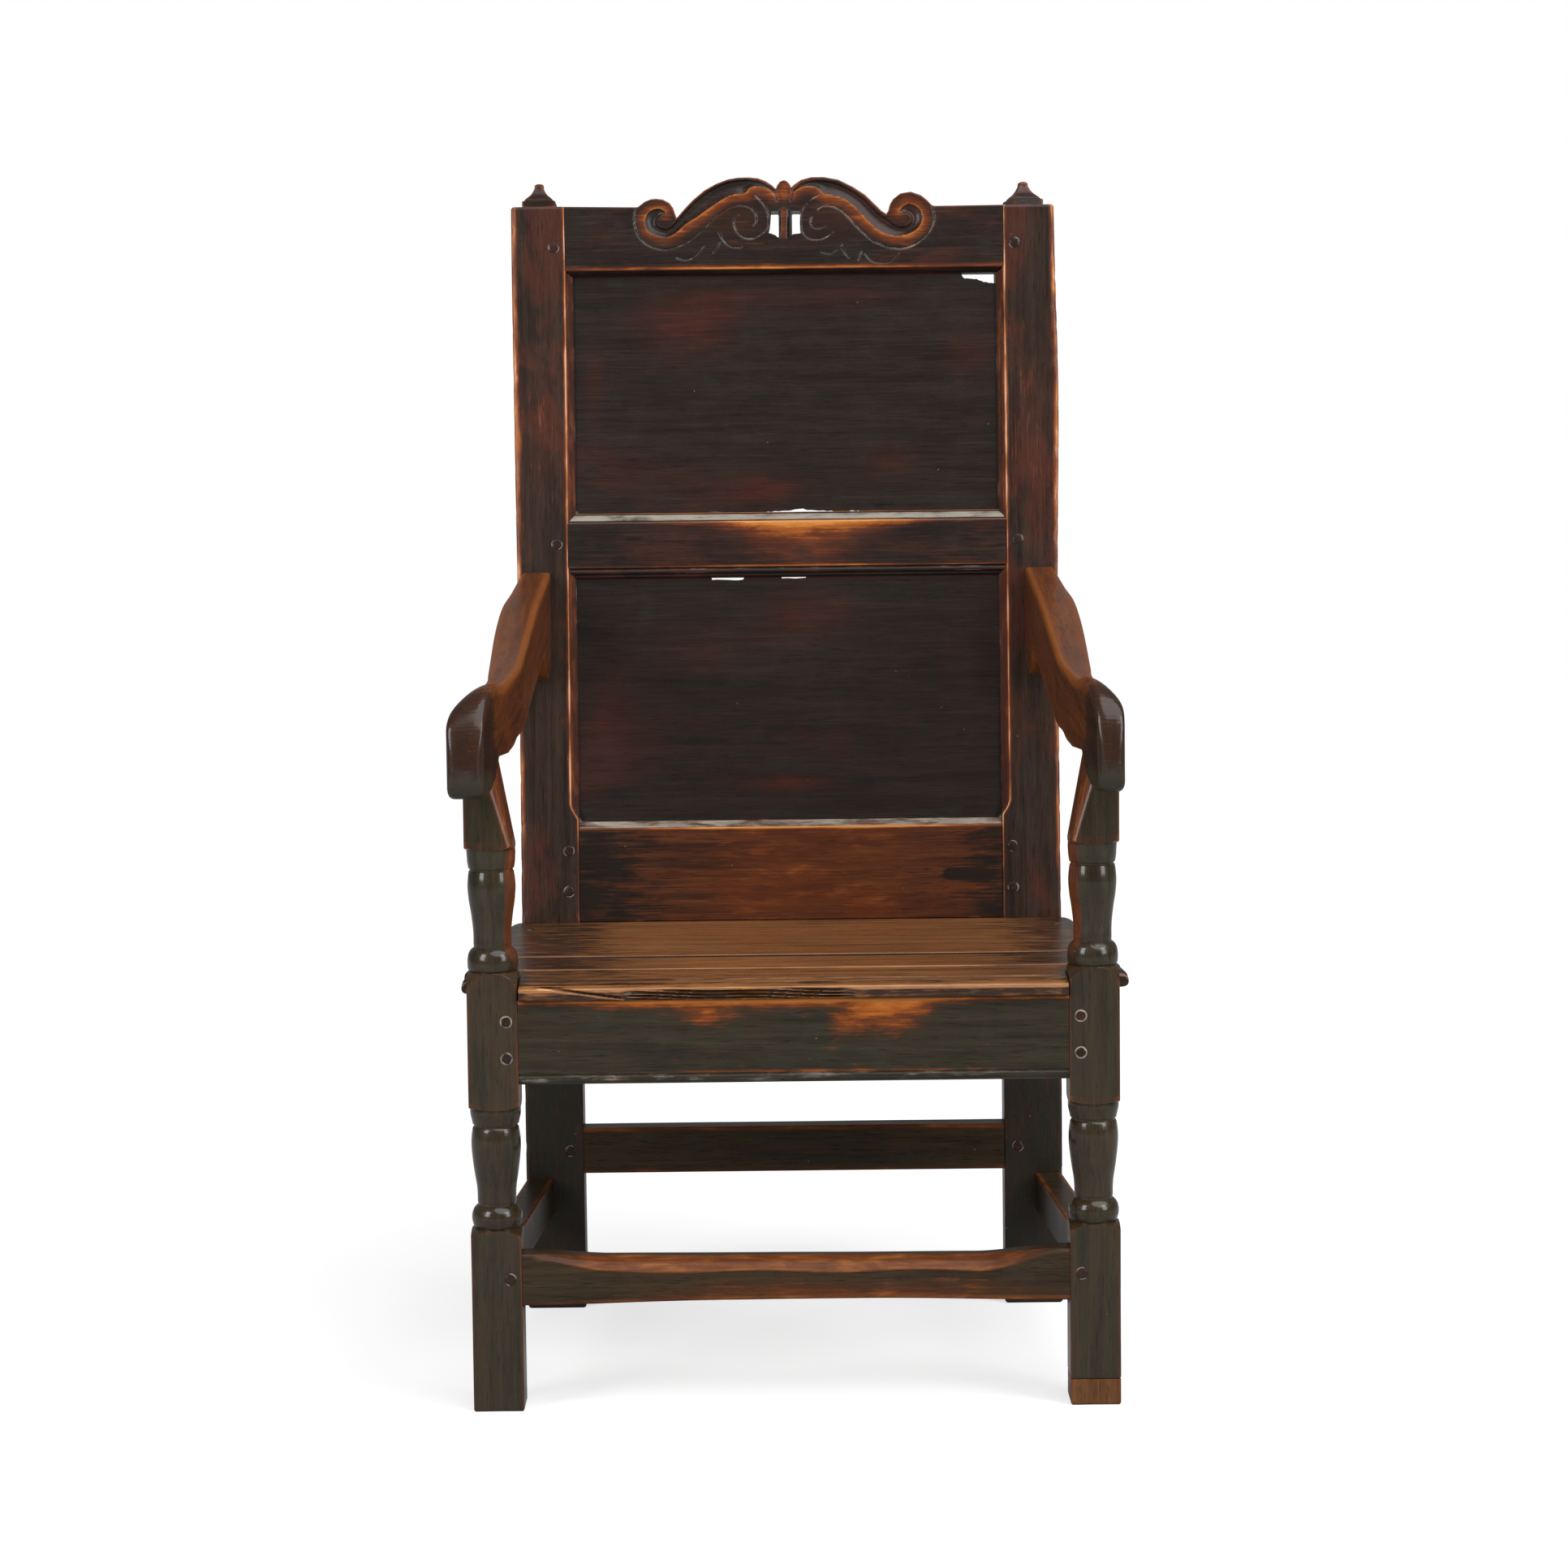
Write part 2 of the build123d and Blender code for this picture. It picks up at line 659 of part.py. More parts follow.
with BuildPart() as front_stretcher:
    stretcher_plane = upright(front_rail_y)
    low = (-leg_inner, front_stretcher_bottom)
    slab(stretcher_plane, low, (leg_inner, front_stretcher_top), stretcher_thick)
    # feet have worn a long hollow in its front top edge
    with BuildSketch(Plane.YZ.offset(-leg_inner)) as hollow:
        with BuildLine():
            Polyline(
                (front_rail_y, front_stretcher_top),
                (front_rail_y, front_stretcher_top - 2 * stretcher_wear),
                (front_rail_y + stretcher_wear, front_stretcher_top),
                close=True,
            )
        make_face()
    extrude(hollow.sketch, amount=2 * leg_inner, mode=Mode.SUBTRACT)
    tenon(stretcher_plane, leg_tip, front_stretcher_bottom, front_stretcher_top)
    bore(upright(front_y), both(front_stretcher_pegs), back_peg)
save(front_stretcher, "front_stretcher")

with BuildPart() as rear_stretcher:
    stretcher_plane = upright(back_y + rail_set)
    low = (-post_inner, rear_stretcher_bottom)
    slab(stretcher_plane, low, (post_inner, rear_stretcher_top), stretcher_thick)
    tenon(stretcher_plane, post_tip, rear_stretcher_bottom, rear_stretcher_top)
    bore(upright(back_y), both(rear_stretcher_pegs), back_peg)
save(rear_stretcher, "rear_stretcher")


# --- front legs: squares at the joints and a turned vase between them ---
def turned_edge(foot):
    # the outline of one turned section from its foot up: a bead, a fillet, a vase and a collar
    top = foot + turning
    bead_top = foot + bead_height
    fillet_top = bead_top + fillet_height
    swell = foot + vase_fullest
    neck = foot + neck_height
    bead_edge = fillet_r + quirk
    ThreePointArc((collar_r, foot), (bead_r, foot + bead_height / 2), (bead_edge, bead_top))
    Polyline((bead_edge, bead_top), (fillet_r, bead_top), (fillet_r, fillet_top))
    vase_mid = ((fillet_r + vase_r) / 2, (fillet_top + swell) / 2)
    Spline((fillet_r, fillet_top), vase_mid, (vase_r, swell), (neck_r, neck))
    ThreePointArc((neck_r, neck), ((neck_r + 2 * collar_r) / 3, (neck + top) / 2), (collar_r, top))


def front_leg(foot):
    corner_r = leg_size / sqrt(2) + overrun
    flat_r = leg_size / 2
    with BuildPart() as leg:
        with BuildSketch(Plane.XY.offset(foot)):
            with Locations((leg_x, leg_y)):
                Rectangle(leg_size, leg_size)
        extrude(amount=leg_top - foot)
        if foot == 0:
            chamfer(leg.edges().group_by(Axis.Z)[0], foot_chamfer)
        with BuildSketch(Plane(origin=(leg_x, leg_y, 0), x_dir=(1, 0, 0), z_dir=(0, -1, 0))):
            with BuildLine():
                Line((0, foot), (corner_r, foot))
                for block_low, block_top, turned in (
                    (foot, lower_block_top, lower_block_top + turning),
                    (lower_block_top + turning + arc_height, seat_block_top, seat_block_top + turning),
                ):
                    arch_foot = block_top - arch_height
                    Line((corner_r, block_low), (corner_r, arch_foot))
                    arch_x = flat_r + arch_round * (corner_r - flat_r)
                    arch_mid = (arch_x, block_top - (1 - arch_round) * arch_height)
                    ThreePointArc((corner_r, arch_foot), arch_mid, (flat_r, block_top))
                    Line((flat_r, block_top), (collar_r, block_top))
                    turned_edge(block_top)
                    Line((collar_r, turned), (corner_r, turned + arc_height))
                top_block_low = seat_block_top + turning + arc_height
                Polyline((corner_r, top_block_low), (corner_r, leg_top), (0, leg_top), (0, foot))
            make_face()
        revolve(axis=Axis((leg_x, leg_y, 0), (0, 0, 1)), mode=Mode.INTERSECT)
        # the inner side tapers up to the arm
        top_inner = leg_outer - leg_top_width
        with BuildSketch(upright(front_y)) as taper:
            with BuildLine():
                Polyline((leg_inner, taper_start), (top_inner, leg_top), (leg_inner, leg_top), close=True)
            make_face()
        extrude(taper.sketch, amount=-leg_size, mode=Mode.SUBTRACT)
        for z, inner, size in ((taper_start, leg_inner, chamfer_toe), (leg_top, top_inner, top_chamfer)):
            with BuildSketch(Plane.XY.offset(z)):
                with BuildLine():
                    Polyline((inner, front_y), (inner + size, front_y), (inner, front_y + size), close=True)
                make_face()
        loft(mode=Mode.SUBTRACT)
        leg_tenon_bar()
        mortise(upright(front_rail_y), leg_inner, leg_tip, seat_rail_bottom, seat_under)
        mortise(upright(front_rail_y), leg_inner, leg_tip, front_stretcher_bottom, front_stretcher_top)
        side_end = leg_back_y - leg_tenon - end_gap
        side_mortise(seat_rail_bottom, seat_under, side_end, leg_back_y)
        side_mortise(side_stretcher_bottom, side_stretcher_top, side_end, leg_back_y)
        bore(upright(front_y), front_seat_pegs + front_stretcher_pegs, back_peg)
        bore(leg_side, in_leg(side_seat_pegs + side_stretcher_pegs), side_peg)
        bore(Plane.YZ.offset(arm_peg_x), [arm_leg_peg], side_peg)
        if foot > 0:
            socket = tip_dowel + end_gap
            bore(Plane.XY.offset(foot + socket), [(leg_x, leg_y)], socket, tip_dowel_r + peg_fit)
    return leg


save(front_leg(foot_tip), "front_leg_right")
save(mirrored(front_leg(0.0)), "front_leg_left")

with BuildPart() as foot_tip_right:
    with BuildSketch(Plane.XY):
        with Locations((leg_x, leg_y)):
            Rectangle(leg_size, leg_size)
    extrude(amount=foot_tip)
    chamfer(foot_tip_right.edges().group_by(Axis.Z)[0], foot_chamfer)
    with BuildSketch(Plane.XY.offset(foot_tip)):
        with Locations((leg_x, leg_y)):
            Circle(tip_dowel_r)
    extrude(amount=tip_dowel)
save(foot_tip_right, "foot_tip_right")

# --- arms: sawn from the plank to a side profile and to a plan ---
def arm_at(behind, rise):
    return (front_y + behind, leg_top + rise)


def post_at(rise):
    return (post_face_y(leg_top + rise), leg_top + rise)


with BuildPart() as arm_right:
    with BuildSketch(Plane.YZ.offset(post_inner)):
        with BuildLine():
            nose_top = arm_at(-arm_reach, arm_nose_top)
            nose_low = arm_at(-arm_reach, -arm_chin / 2)
            chin = arm_at(-arm_chin_out, -arm_chin)
            Line(post_at(arm_rear_top), arm_at(arm_bend, arm_bend_top))
            Spline(
                arm_at(arm_bend, arm_bend_top),
                arm_at(arm_bend / 2, arm_mid_top),
                arm_at(arm_wrist, arm_wrist_top),
                arm_at(0, arm_wrist_top),
                arm_at(-arm_crown_out, arm_crown),
                nose_top,
            )
            Line(nose_top, nose_low)
            TangentArc(nose_low, chin, tangent=(0, -1))
            TangentArc(chin, arm_at(0, 0), tangent=(1, 0))
            cusp = arm_at(leg_size + arm_under, arm_under)
            Polyline(arm_at(0, 0), arm_at(leg_size, 0), cusp)
            scallop_end = arm_at(leg_size + arm_under + arm_scallop, arm_under)
            scallop_low = arm_at(leg_size + arm_under + arm_scallop / 2, arm_under / 2)
            ThreePointArc(cusp, scallop_low, scallop_end)
            lobe_top = arm_at(lobe_front, lobe_high)
            Line(scallop_end, lobe_top)
            ThreePointArc(lobe_top, arm_at(lobe_front + lobe_length, lobe_low), post_at(arm_rear_low))
            Line(post_at(arm_rear_low), post_at(arm_rear_top))
        make_face()
    extrude(amount=leg_outer + arm_grip_out - post_inner)
    with BuildSketch(Plane.XY.offset(seat_top)) as arm_plan:
        with BuildLine():
            rear_y = front_y + back_reach
            bend_y = front_y + arm_bend
            nose_y = front_y - arm_reach
            rear_out = post_outer - arm_rear_out
            rear_in = post_outer - arm_rear_in
            bend_out = leg_outer - arm_bend_out
            bend_in = leg_outer - arm_bend_in
            nose_out = leg_outer + arm_grip_out
            nose_in = leg_outer - arm_grip_in
            swing_y = leg_back_y + leg_size
            Polyline((rear_out, rear_y), (rear_out, back_y), (bend_out, bend_y), (bend_out, swing_y))
            leg_out = leg_outer - arm_leg_out
            forwards = (0, -1)
            Spline((bend_out, swing_y), (leg_out, front_y), (nose_out, nose_y), tangents=(forwards, forwards))
            Line((nose_out, nose_y), (nose_in, nose_y))
            Spline(
                (nose_in, nose_y),
                (leg_outer - arm_leg_in, front_y),
                (leg_outer - arm_mid_in, front_y + arm_bend / 3),
                (bend_in, bend_y),
            )
            Polyline((bend_in, bend_y), (rear_in, back_y), (rear_in, rear_y), (rear_out, rear_y))
        make_face()
    extrude(arm_plan.sketch, amount=post_rise, mode=Mode.INTERSECT)
    arm_tenon_bar()
    leg_tenon_bar(cheek_gap, Mode.SUBTRACT)
    bore(post_side, [arm_post_peg], side_peg)
    bore(Plane.YZ.offset(ear_half), [arm_leg_peg], ear_half - arm_peg_x + side_peg)
save(arm_right, "arm_right")
save(mirrored(arm_right), "arm_left")


# --- seat of three boards, notched behind the front legs ---
def seat_board(name, y_from, y_to):
    notch_x = leg_inner - notch_fit
    notch_y = leg_back_y + notch_fit
    with BuildPart() as board:
        with BuildSketch(Plane.XY.offset(seat_under)) as plan:
            with BuildLine():
                Polyline(
                    (0, front_y - nosing),
                    (notch_x, front_y - nosing),
                    (notch_x, notch_y),
                    (ear_half, notch_y),
                    (seat_rear_half, back_y),
                    (0, back_y),
                )
                mirror(about=Plane.YZ)
            make_face()
            with Locations((0, (y_from + y_to) / 2)):
                Rectangle(2 * (ear_half + overrun), y_to - y_from, mode=Mode.INTERSECT)
            rear_corners = [v for v in plan.vertices() if abs(v.Y - back_y) < notch_fit]
            if rear_corners:
                fillet(rear_corners, corner_round)
        extrude(amount=seat_thick)
        top_edges = board.edges().group_by(Axis.Z)[-1].filter_by(GeomType.LINE)
        sides = [e for e in top_edges if abs((e % 0).Y) > abs((e % 0).X)]
        fillet([e for e in sides if abs(e.center().X) > leg_inner], seat_round)
        if y_from < front_y:
            nose_edge = board.edges().group_by(Axis.Z)[-1].sort_by(Axis.Y)[0]
            fillet(nose_edge, seat_round)
        own_pegs = [p for p in seat_pegs if y_from < p[1] < y_to]
        bore(Plane.XY.offset(seat_top), own_pegs, seat_thick, seat_peg_r)
    save(board, name)


seat_board("seat_board_front", front_y - nosing, front_y + front_board)
seat_board("seat_board_middle", front_y + front_board, front_y + middle_board)
seat_board("seat_board_rear", front_y + middle_board + board_joint, back_y)


# --- finials: a square ogee spire on a low plinth, with a dowel into the post ---
def finial(twist):
    top = raked_section(post_rise)
    spot = top.from_local_coords((post_outer - post_width / 2, post_depth / 2, 0))
    turned_x = (cos(radians(twist)), sin(radians(twist)), 0)
    stand = Plane(origin=spot, x_dir=turned_x, z_dir=(0, sin(rake), cos(rake)))
    with BuildPart() as spire:
        with BuildSketch(stand):
            Rectangle(finial_base, finial_base)
        extrude(amount=finial_plinth)
        spire_widths = (finial_base - 2 * quirk, finial_waist, finial_neck, finial_tip)
        for step, width in enumerate(spire_widths):
            rise = finial_plinth + (finial_rise - finial_plinth) * step / (len(spire_widths) - 1)
            with BuildSketch(stand.offset(rise)):
                Rectangle(width, width)
        loft()
        with BuildSketch(stand):
            Circle(finial_dowel_r)
        extrude(amount=-finial_dowel)
    return spire


save(finial(finial_twist), "finial_right")
save(mirrored(finial(0.0)), "finial_left")


# --- pegs, faceted as if split from the log, one node for each set ---
def peg_set(length, *rows, radius=peg_r):
    with BuildPart() as pegs:
        for plane, points in rows:
            with BuildSketch(plane.offset(-peg_sink)) as ends:
                with Locations(*points):
                    RegularPolygon(radius, peg_sides)
            extrude(ends.sketch, amount=-(length - 2 * peg_sink))
    return pegs


save(peg_set(back_peg, (raked(), both(crest_pegs))), "pegs_crest_rail")
save(peg_set(back_peg, (raked(), both(mid_pegs))), "pegs_mid_rail")
save(peg_set(back_peg, (raked(), both(lower_back_pegs))), "pegs_lower_back_rail")
save(peg_set(back_peg, (upright(back_y), both(rear_seat_pegs))), "pegs_rear_seat_rail")
save(peg_set(back_peg, (upright(back_y), both(rear_stretcher_pegs))), "pegs_rear_stretcher")
save(peg_set(back_peg, (upright(front_y), both(front_seat_pegs))), "pegs_front_seat_rail")
save(peg_set(back_peg, (upright(front_y), both(front_stretcher_pegs))), "pegs_front_stretcher")
for name, points in (("pegs_side_seat_rail", side_seat_pegs), ("pegs_side_stretcher", side_stretcher_pegs)):
    side_pegs = peg_set(side_peg, (leg_side, in_leg(points)), (post_side, in_post(points)))
    save(side_pegs, f"{name}_right")
    save(mirrored(side_pegs), f"{name}_left")
arm_pegs = peg_set(side_peg, (post_side, [arm_post_peg]), (Plane.YZ.offset(arm_peg_x), [arm_leg_peg]))
save(arm_pegs, "pegs_arm_right")
save(mirrored(arm_pegs), "pegs_arm_left")
save(peg_set(seat_peg, (Plane.XY.offset(seat_top), seat_pegs), radius=seat_peg_r - peg_fit), "pegs_seat")
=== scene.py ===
import bpy, bmesh, json, math
import numpy as np
from mathutils import Matrix, Vector

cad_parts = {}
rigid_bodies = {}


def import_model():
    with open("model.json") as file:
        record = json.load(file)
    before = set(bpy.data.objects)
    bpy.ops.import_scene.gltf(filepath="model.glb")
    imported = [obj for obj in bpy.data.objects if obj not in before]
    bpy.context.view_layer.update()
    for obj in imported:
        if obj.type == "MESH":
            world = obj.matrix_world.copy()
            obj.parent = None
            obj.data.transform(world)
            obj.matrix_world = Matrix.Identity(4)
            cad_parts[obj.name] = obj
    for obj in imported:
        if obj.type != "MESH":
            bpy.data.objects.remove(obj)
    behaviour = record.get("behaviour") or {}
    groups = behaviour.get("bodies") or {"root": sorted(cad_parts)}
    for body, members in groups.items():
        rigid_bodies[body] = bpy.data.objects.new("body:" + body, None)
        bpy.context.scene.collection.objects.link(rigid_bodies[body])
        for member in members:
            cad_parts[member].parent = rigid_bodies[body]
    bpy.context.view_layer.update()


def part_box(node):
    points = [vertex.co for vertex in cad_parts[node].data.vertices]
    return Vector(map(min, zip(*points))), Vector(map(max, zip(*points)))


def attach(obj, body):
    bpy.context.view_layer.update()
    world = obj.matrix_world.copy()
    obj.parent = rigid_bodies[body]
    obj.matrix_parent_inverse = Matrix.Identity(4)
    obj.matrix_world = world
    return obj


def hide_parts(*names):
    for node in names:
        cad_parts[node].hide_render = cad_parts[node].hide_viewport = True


for leftover in list(bpy.data.objects):  # the start-up cube, lamp and camera
    bpy.data.objects.remove(leftover)
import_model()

mm = 0.001
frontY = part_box("front_leg_left")[0][1] / mm  # front faces of the front legs
backY = frontY + 420.0  # front faces of the back posts at the seat
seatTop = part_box("seat_board_rear")[1][2] / mm
rake = math.radians(5.5)  # the back leans away above the seat
backOpening = 208.4  # middle of the chair to the inner faces of the back posts
railThick = 28.0
postTop, crestLow = 703.0, 636.9  # up the rake from the seat
sides = ((1, "right"), (-1, "left"))
print("frame loaded, front faces at", round(frontY, 2), "mm, seat at", round(seatTop, 2), "mm")


# everything below is worked out in millimetres and turned to metres when a mesh gets its points

def srgb(hexText):
    parts = [int(hexText[i:i + 2], 16) / 255 for i in (1, 3, 5)]
    linear = [c / 12.92 if c <= 0.04045 else ((c + 0.055) / 1.055) ** 2.4 for c in parts]
    return (*linear, 1.0)


def raked(x, rise, depth):
    # a place on the leaning back: across, up the rake from the seat, into the wood
    y = backY + rise * math.sin(rake) + depth * math.cos(rake)
    z = seatTop + rise * math.cos(rake) - depth * math.sin(rake)
    return np.stack(np.broadcast_arrays(x, y, z), axis=-1).astype(float)


def smooth(low, high, value):
    t = np.clip((np.asarray(value, float) - low) / (high - low), 0, 1)
    return t * t * (3 - 2 * t)


def ripple(points, size, seed=0.0):
    # a slow unevenness between -1 and 1, the same on every run
    p = np.asarray(points) / size
    x, y, z = p[..., 0] + seed, p[..., 1] - 2.3 * seed, p[..., 2] + 0.7 * seed
    wave = np.sin(x * 1.7 + 1.3 * np.sin(y * 1.1 + z * 0.9)) + np.sin(y * 2.1 + 1.7 * np.sin(z * 1.3 - x * 0.7))
    return (wave + np.sin(z * 1.9 + 1.5 * np.sin(x * 0.8 + y * 1.2))) / 3


def through(points, at, corners=()):
    # a smooth line through the points, read at places counted in points. It may turn sharply at corners
    p = np.array(points, float)
    gaps = np.maximum(np.linalg.norm(np.diff(p, axis=0), axis=1), 1e-9)[:, None]
    chords = np.diff(p, axis=0) / gaps
    leave = np.vstack((chords, chords[-1:]))
    arrive = np.vstack((chords[:1], chords))
    blend = (chords[:-1] * gaps[1:] + chords[1:] * gaps[:-1]) / (gaps[1:] + gaps[:-1])
    for i in range(1, len(p) - 1):
        if i not in corners:
            leave[i] = arrive[i] = blend[i - 1]
    i = np.clip(np.floor(at).astype(int), 0, len(p) - 2)
    t = (np.asarray(at) - i)[:, None]
    start = (2 * t**3 - 3 * t**2 + 1) * p[i] + (t**3 - 2 * t**2 + t) * gaps[i] * leave[i]
    return start + (3 * t**2 - 2 * t**3) * p[i + 1] + (t**3 - t**2) * gaps[i] * arrive[i + 1]


def curve(points, corners=(), step=None):
    # the whole smooth line: a dozen runs between points, or runs of about one step
    p = np.array(points, float)
    gaps = np.linalg.norm(np.diff(p, axis=0), axis=1)
    counts = [12 if step is None else max(1, int(round(g / step))) for g in gaps]
    at = np.concatenate([i + np.arange(n) / n for i, n in enumerate(counts)] + [[len(p) - 1.0]])
    return through(p, at, corners)


def distanceTo(points, line):
    # from flat points to a line of short straight runs
    best = np.full(len(points), 1e9)
    for a, b in zip(line[:-1], line[1:]):
        run = b - a
        t = np.clip(((points - a) @ run) / max(float(run @ run), 1e-9), 0, 1)
        best = np.minimum(best, np.linalg.norm(points - a - t[:, None] * run, axis=1))
    return best


def inside(points, outline):
    # which flat points lie in a closed outline
    x, y = points[:, 0], points[:, 1]
    crossed = np.zeros(len(points), bool)
    for (x0, y0), (x1, y1) in zip(outline, np.roll(outline, -1, axis=0)):
        between = (y0 > y) != (y1 > y)
        crossed ^= between & (x < (x1 - x0) * (y - y0) / (y1 - y0 + 1e-12) + x0)
    return crossed


def section(corners, perSide=9, arc=3):
    # a rounded outline from (across, up, radius) corners, with its points drawn towards the corners.
    # gives the points, the corner nearest each and the distance to it
    count = len(corners)
    sides = perSide if isinstance(perSide, (list, tuple)) else [perSide] * count
    here = np.array([c[:2] for c in corners], float)
    run = np.roll(here, -1, axis=0) - here
    length = np.linalg.norm(run, axis=1)
    run = run / length[:, None]
    cuts = []
    for i in range(count):
        turn = 0.5 * math.acos(float(np.clip(-run[i] @ run[i - 1], -0.9999, 0.9999)))
        cuts.append(min(corners[i][2] / math.tan(turn), 0.45 * length[i - 1], 0.45 * length[i]))
    pts, near, away = [], [], []
    for i in range(count):
        j = (i + 1) % count
        start, end = here[i] - run[i - 1] * cuts[i], here[i] + run[i] * cuts[i]
        for k in range(arc + 1):
            t = k / arc
            pts.append((1 - t) ** 2 * start + 2 * t * (1 - t) * here[i] + t * t * end)
            near.append(i)
            away.append(0.0)
        free = length[i] - cuts[i] - cuts[j]
        for k in range(sides[i]):
            s = free * (0.5 - 0.5 * math.cos(math.pi * (k + 1) / (sides[i] + 1)))
            pts.append(end + run[i] * s)
            near.append(i if s < free / 2 else j)
            away.append(min(s, free - s))
    return np.array(pts), np.array(near), np.array(away)


def stations(low, high, step, fine=()):
    # places along a piece, closer together beside the values in fine
    values = list(np.linspace(low, high, max(2, int(round((high - low) / step)) + 1)))
    for f in fine:
        values += [f + d for d in (-6, -3.5, -1.8, -0.6, 0, 0.6, 1.8, 3.5, 6) if low < f + d < high]
    kept = []
    for v in sorted(values):
        if not kept or v - kept[-1] > 0.35:
            kept.append(v)
    kept[-1] = high
    return np.array(kept)


def tube(rings, wearAndPaintedLight=None, dustAndSheen=None):
    # a ring is spun straight up step by step, and each step then gets its real place
    rings = np.asarray(rings, float)
    steps, around = rings.shape[0] - 1, rings.shape[1]
    bm = bmesh.new()
    bmesh.ops.create_circle(bm, cap_ends=False, segments=around, radius=1.0)
    bmesh.ops.spin(bm, geom=bm.verts[:] + bm.edges[:], cent=(0, 0, 0), axis=(0, 0, 1),
                   dvec=(0, 0, 1), angle=0, steps=steps, use_duplicate=False)
    wearAndPaintedLightLayer = bm.verts.layers.float.new("wearAndPaintedLight")
    dustAndSheenLayer = bm.verts.layers.float.new("dustAndSheen")
    for v in bm.verts:
        i = int(round(math.atan2(v.co.x, v.co.y) / (2 * math.pi) * around)) % around
        k = int(round(v.co.z))
        v.co = rings[k, i] * mm
        if wearAndPaintedLight is not None:
            v[wearAndPaintedLightLayer] = float(wearAndPaintedLight[k][i])
        if dustAndSheen is not None:
            v[dustAndSheenLayer] = float(dustAndSheen[k][i])
    bmesh.ops.holes_fill(bm, edges=[e for e in bm.edges if e.is_boundary], sides=0)
    return bm


def finishPiece(bm, name, nodes, material, sharp=38.0):
    bmesh.ops.recalc_face_normals(bm, faces=bm.faces[:])
    for face in bm.faces:
        face.smooth = True
    for edge in bm.edges:
        edge.smooth = len(edge.link_faces) != 2 or edge.calc_face_angle(0.0) < math.radians(sharp)
    mesh = bpy.data.meshes.new(name)
    bm.to_mesh(mesh)
    bm.free()
    mesh.materials.append(material)
    piece = bpy.data.objects.new(name, mesh)
    bpy.context.scene.collection.objects.link(piece)
    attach(piece, "root")
    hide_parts(*nodes)
    return piece


def otherSide(bm):
    bmesh.ops.scale(bm, vec=(-1, 1, 1), verts=bm.verts[:])
    return bm


def addNode(tree, kind, settings=None, inputs=None, stops=()):
    # one node with its settings, and for each input a value or the output that feeds it
    node = tree.nodes.new(kind)
    for key, value in (settings or {}).items():
        setattr(node, key, value)
    for key, value in (inputs or {}).items():
        if isinstance(value, bpy.types.NodeSocket):
            tree.links.new(value, node.inputs[key])
        else:
            node.inputs[key].default_value = value
    for i, (place, colour) in enumerate(stops):
        element = node.color_ramp.elements[i] if i < 2 else node.color_ramp.elements.new(place)
        element.position, element.color = place, srgb(colour)
    return node


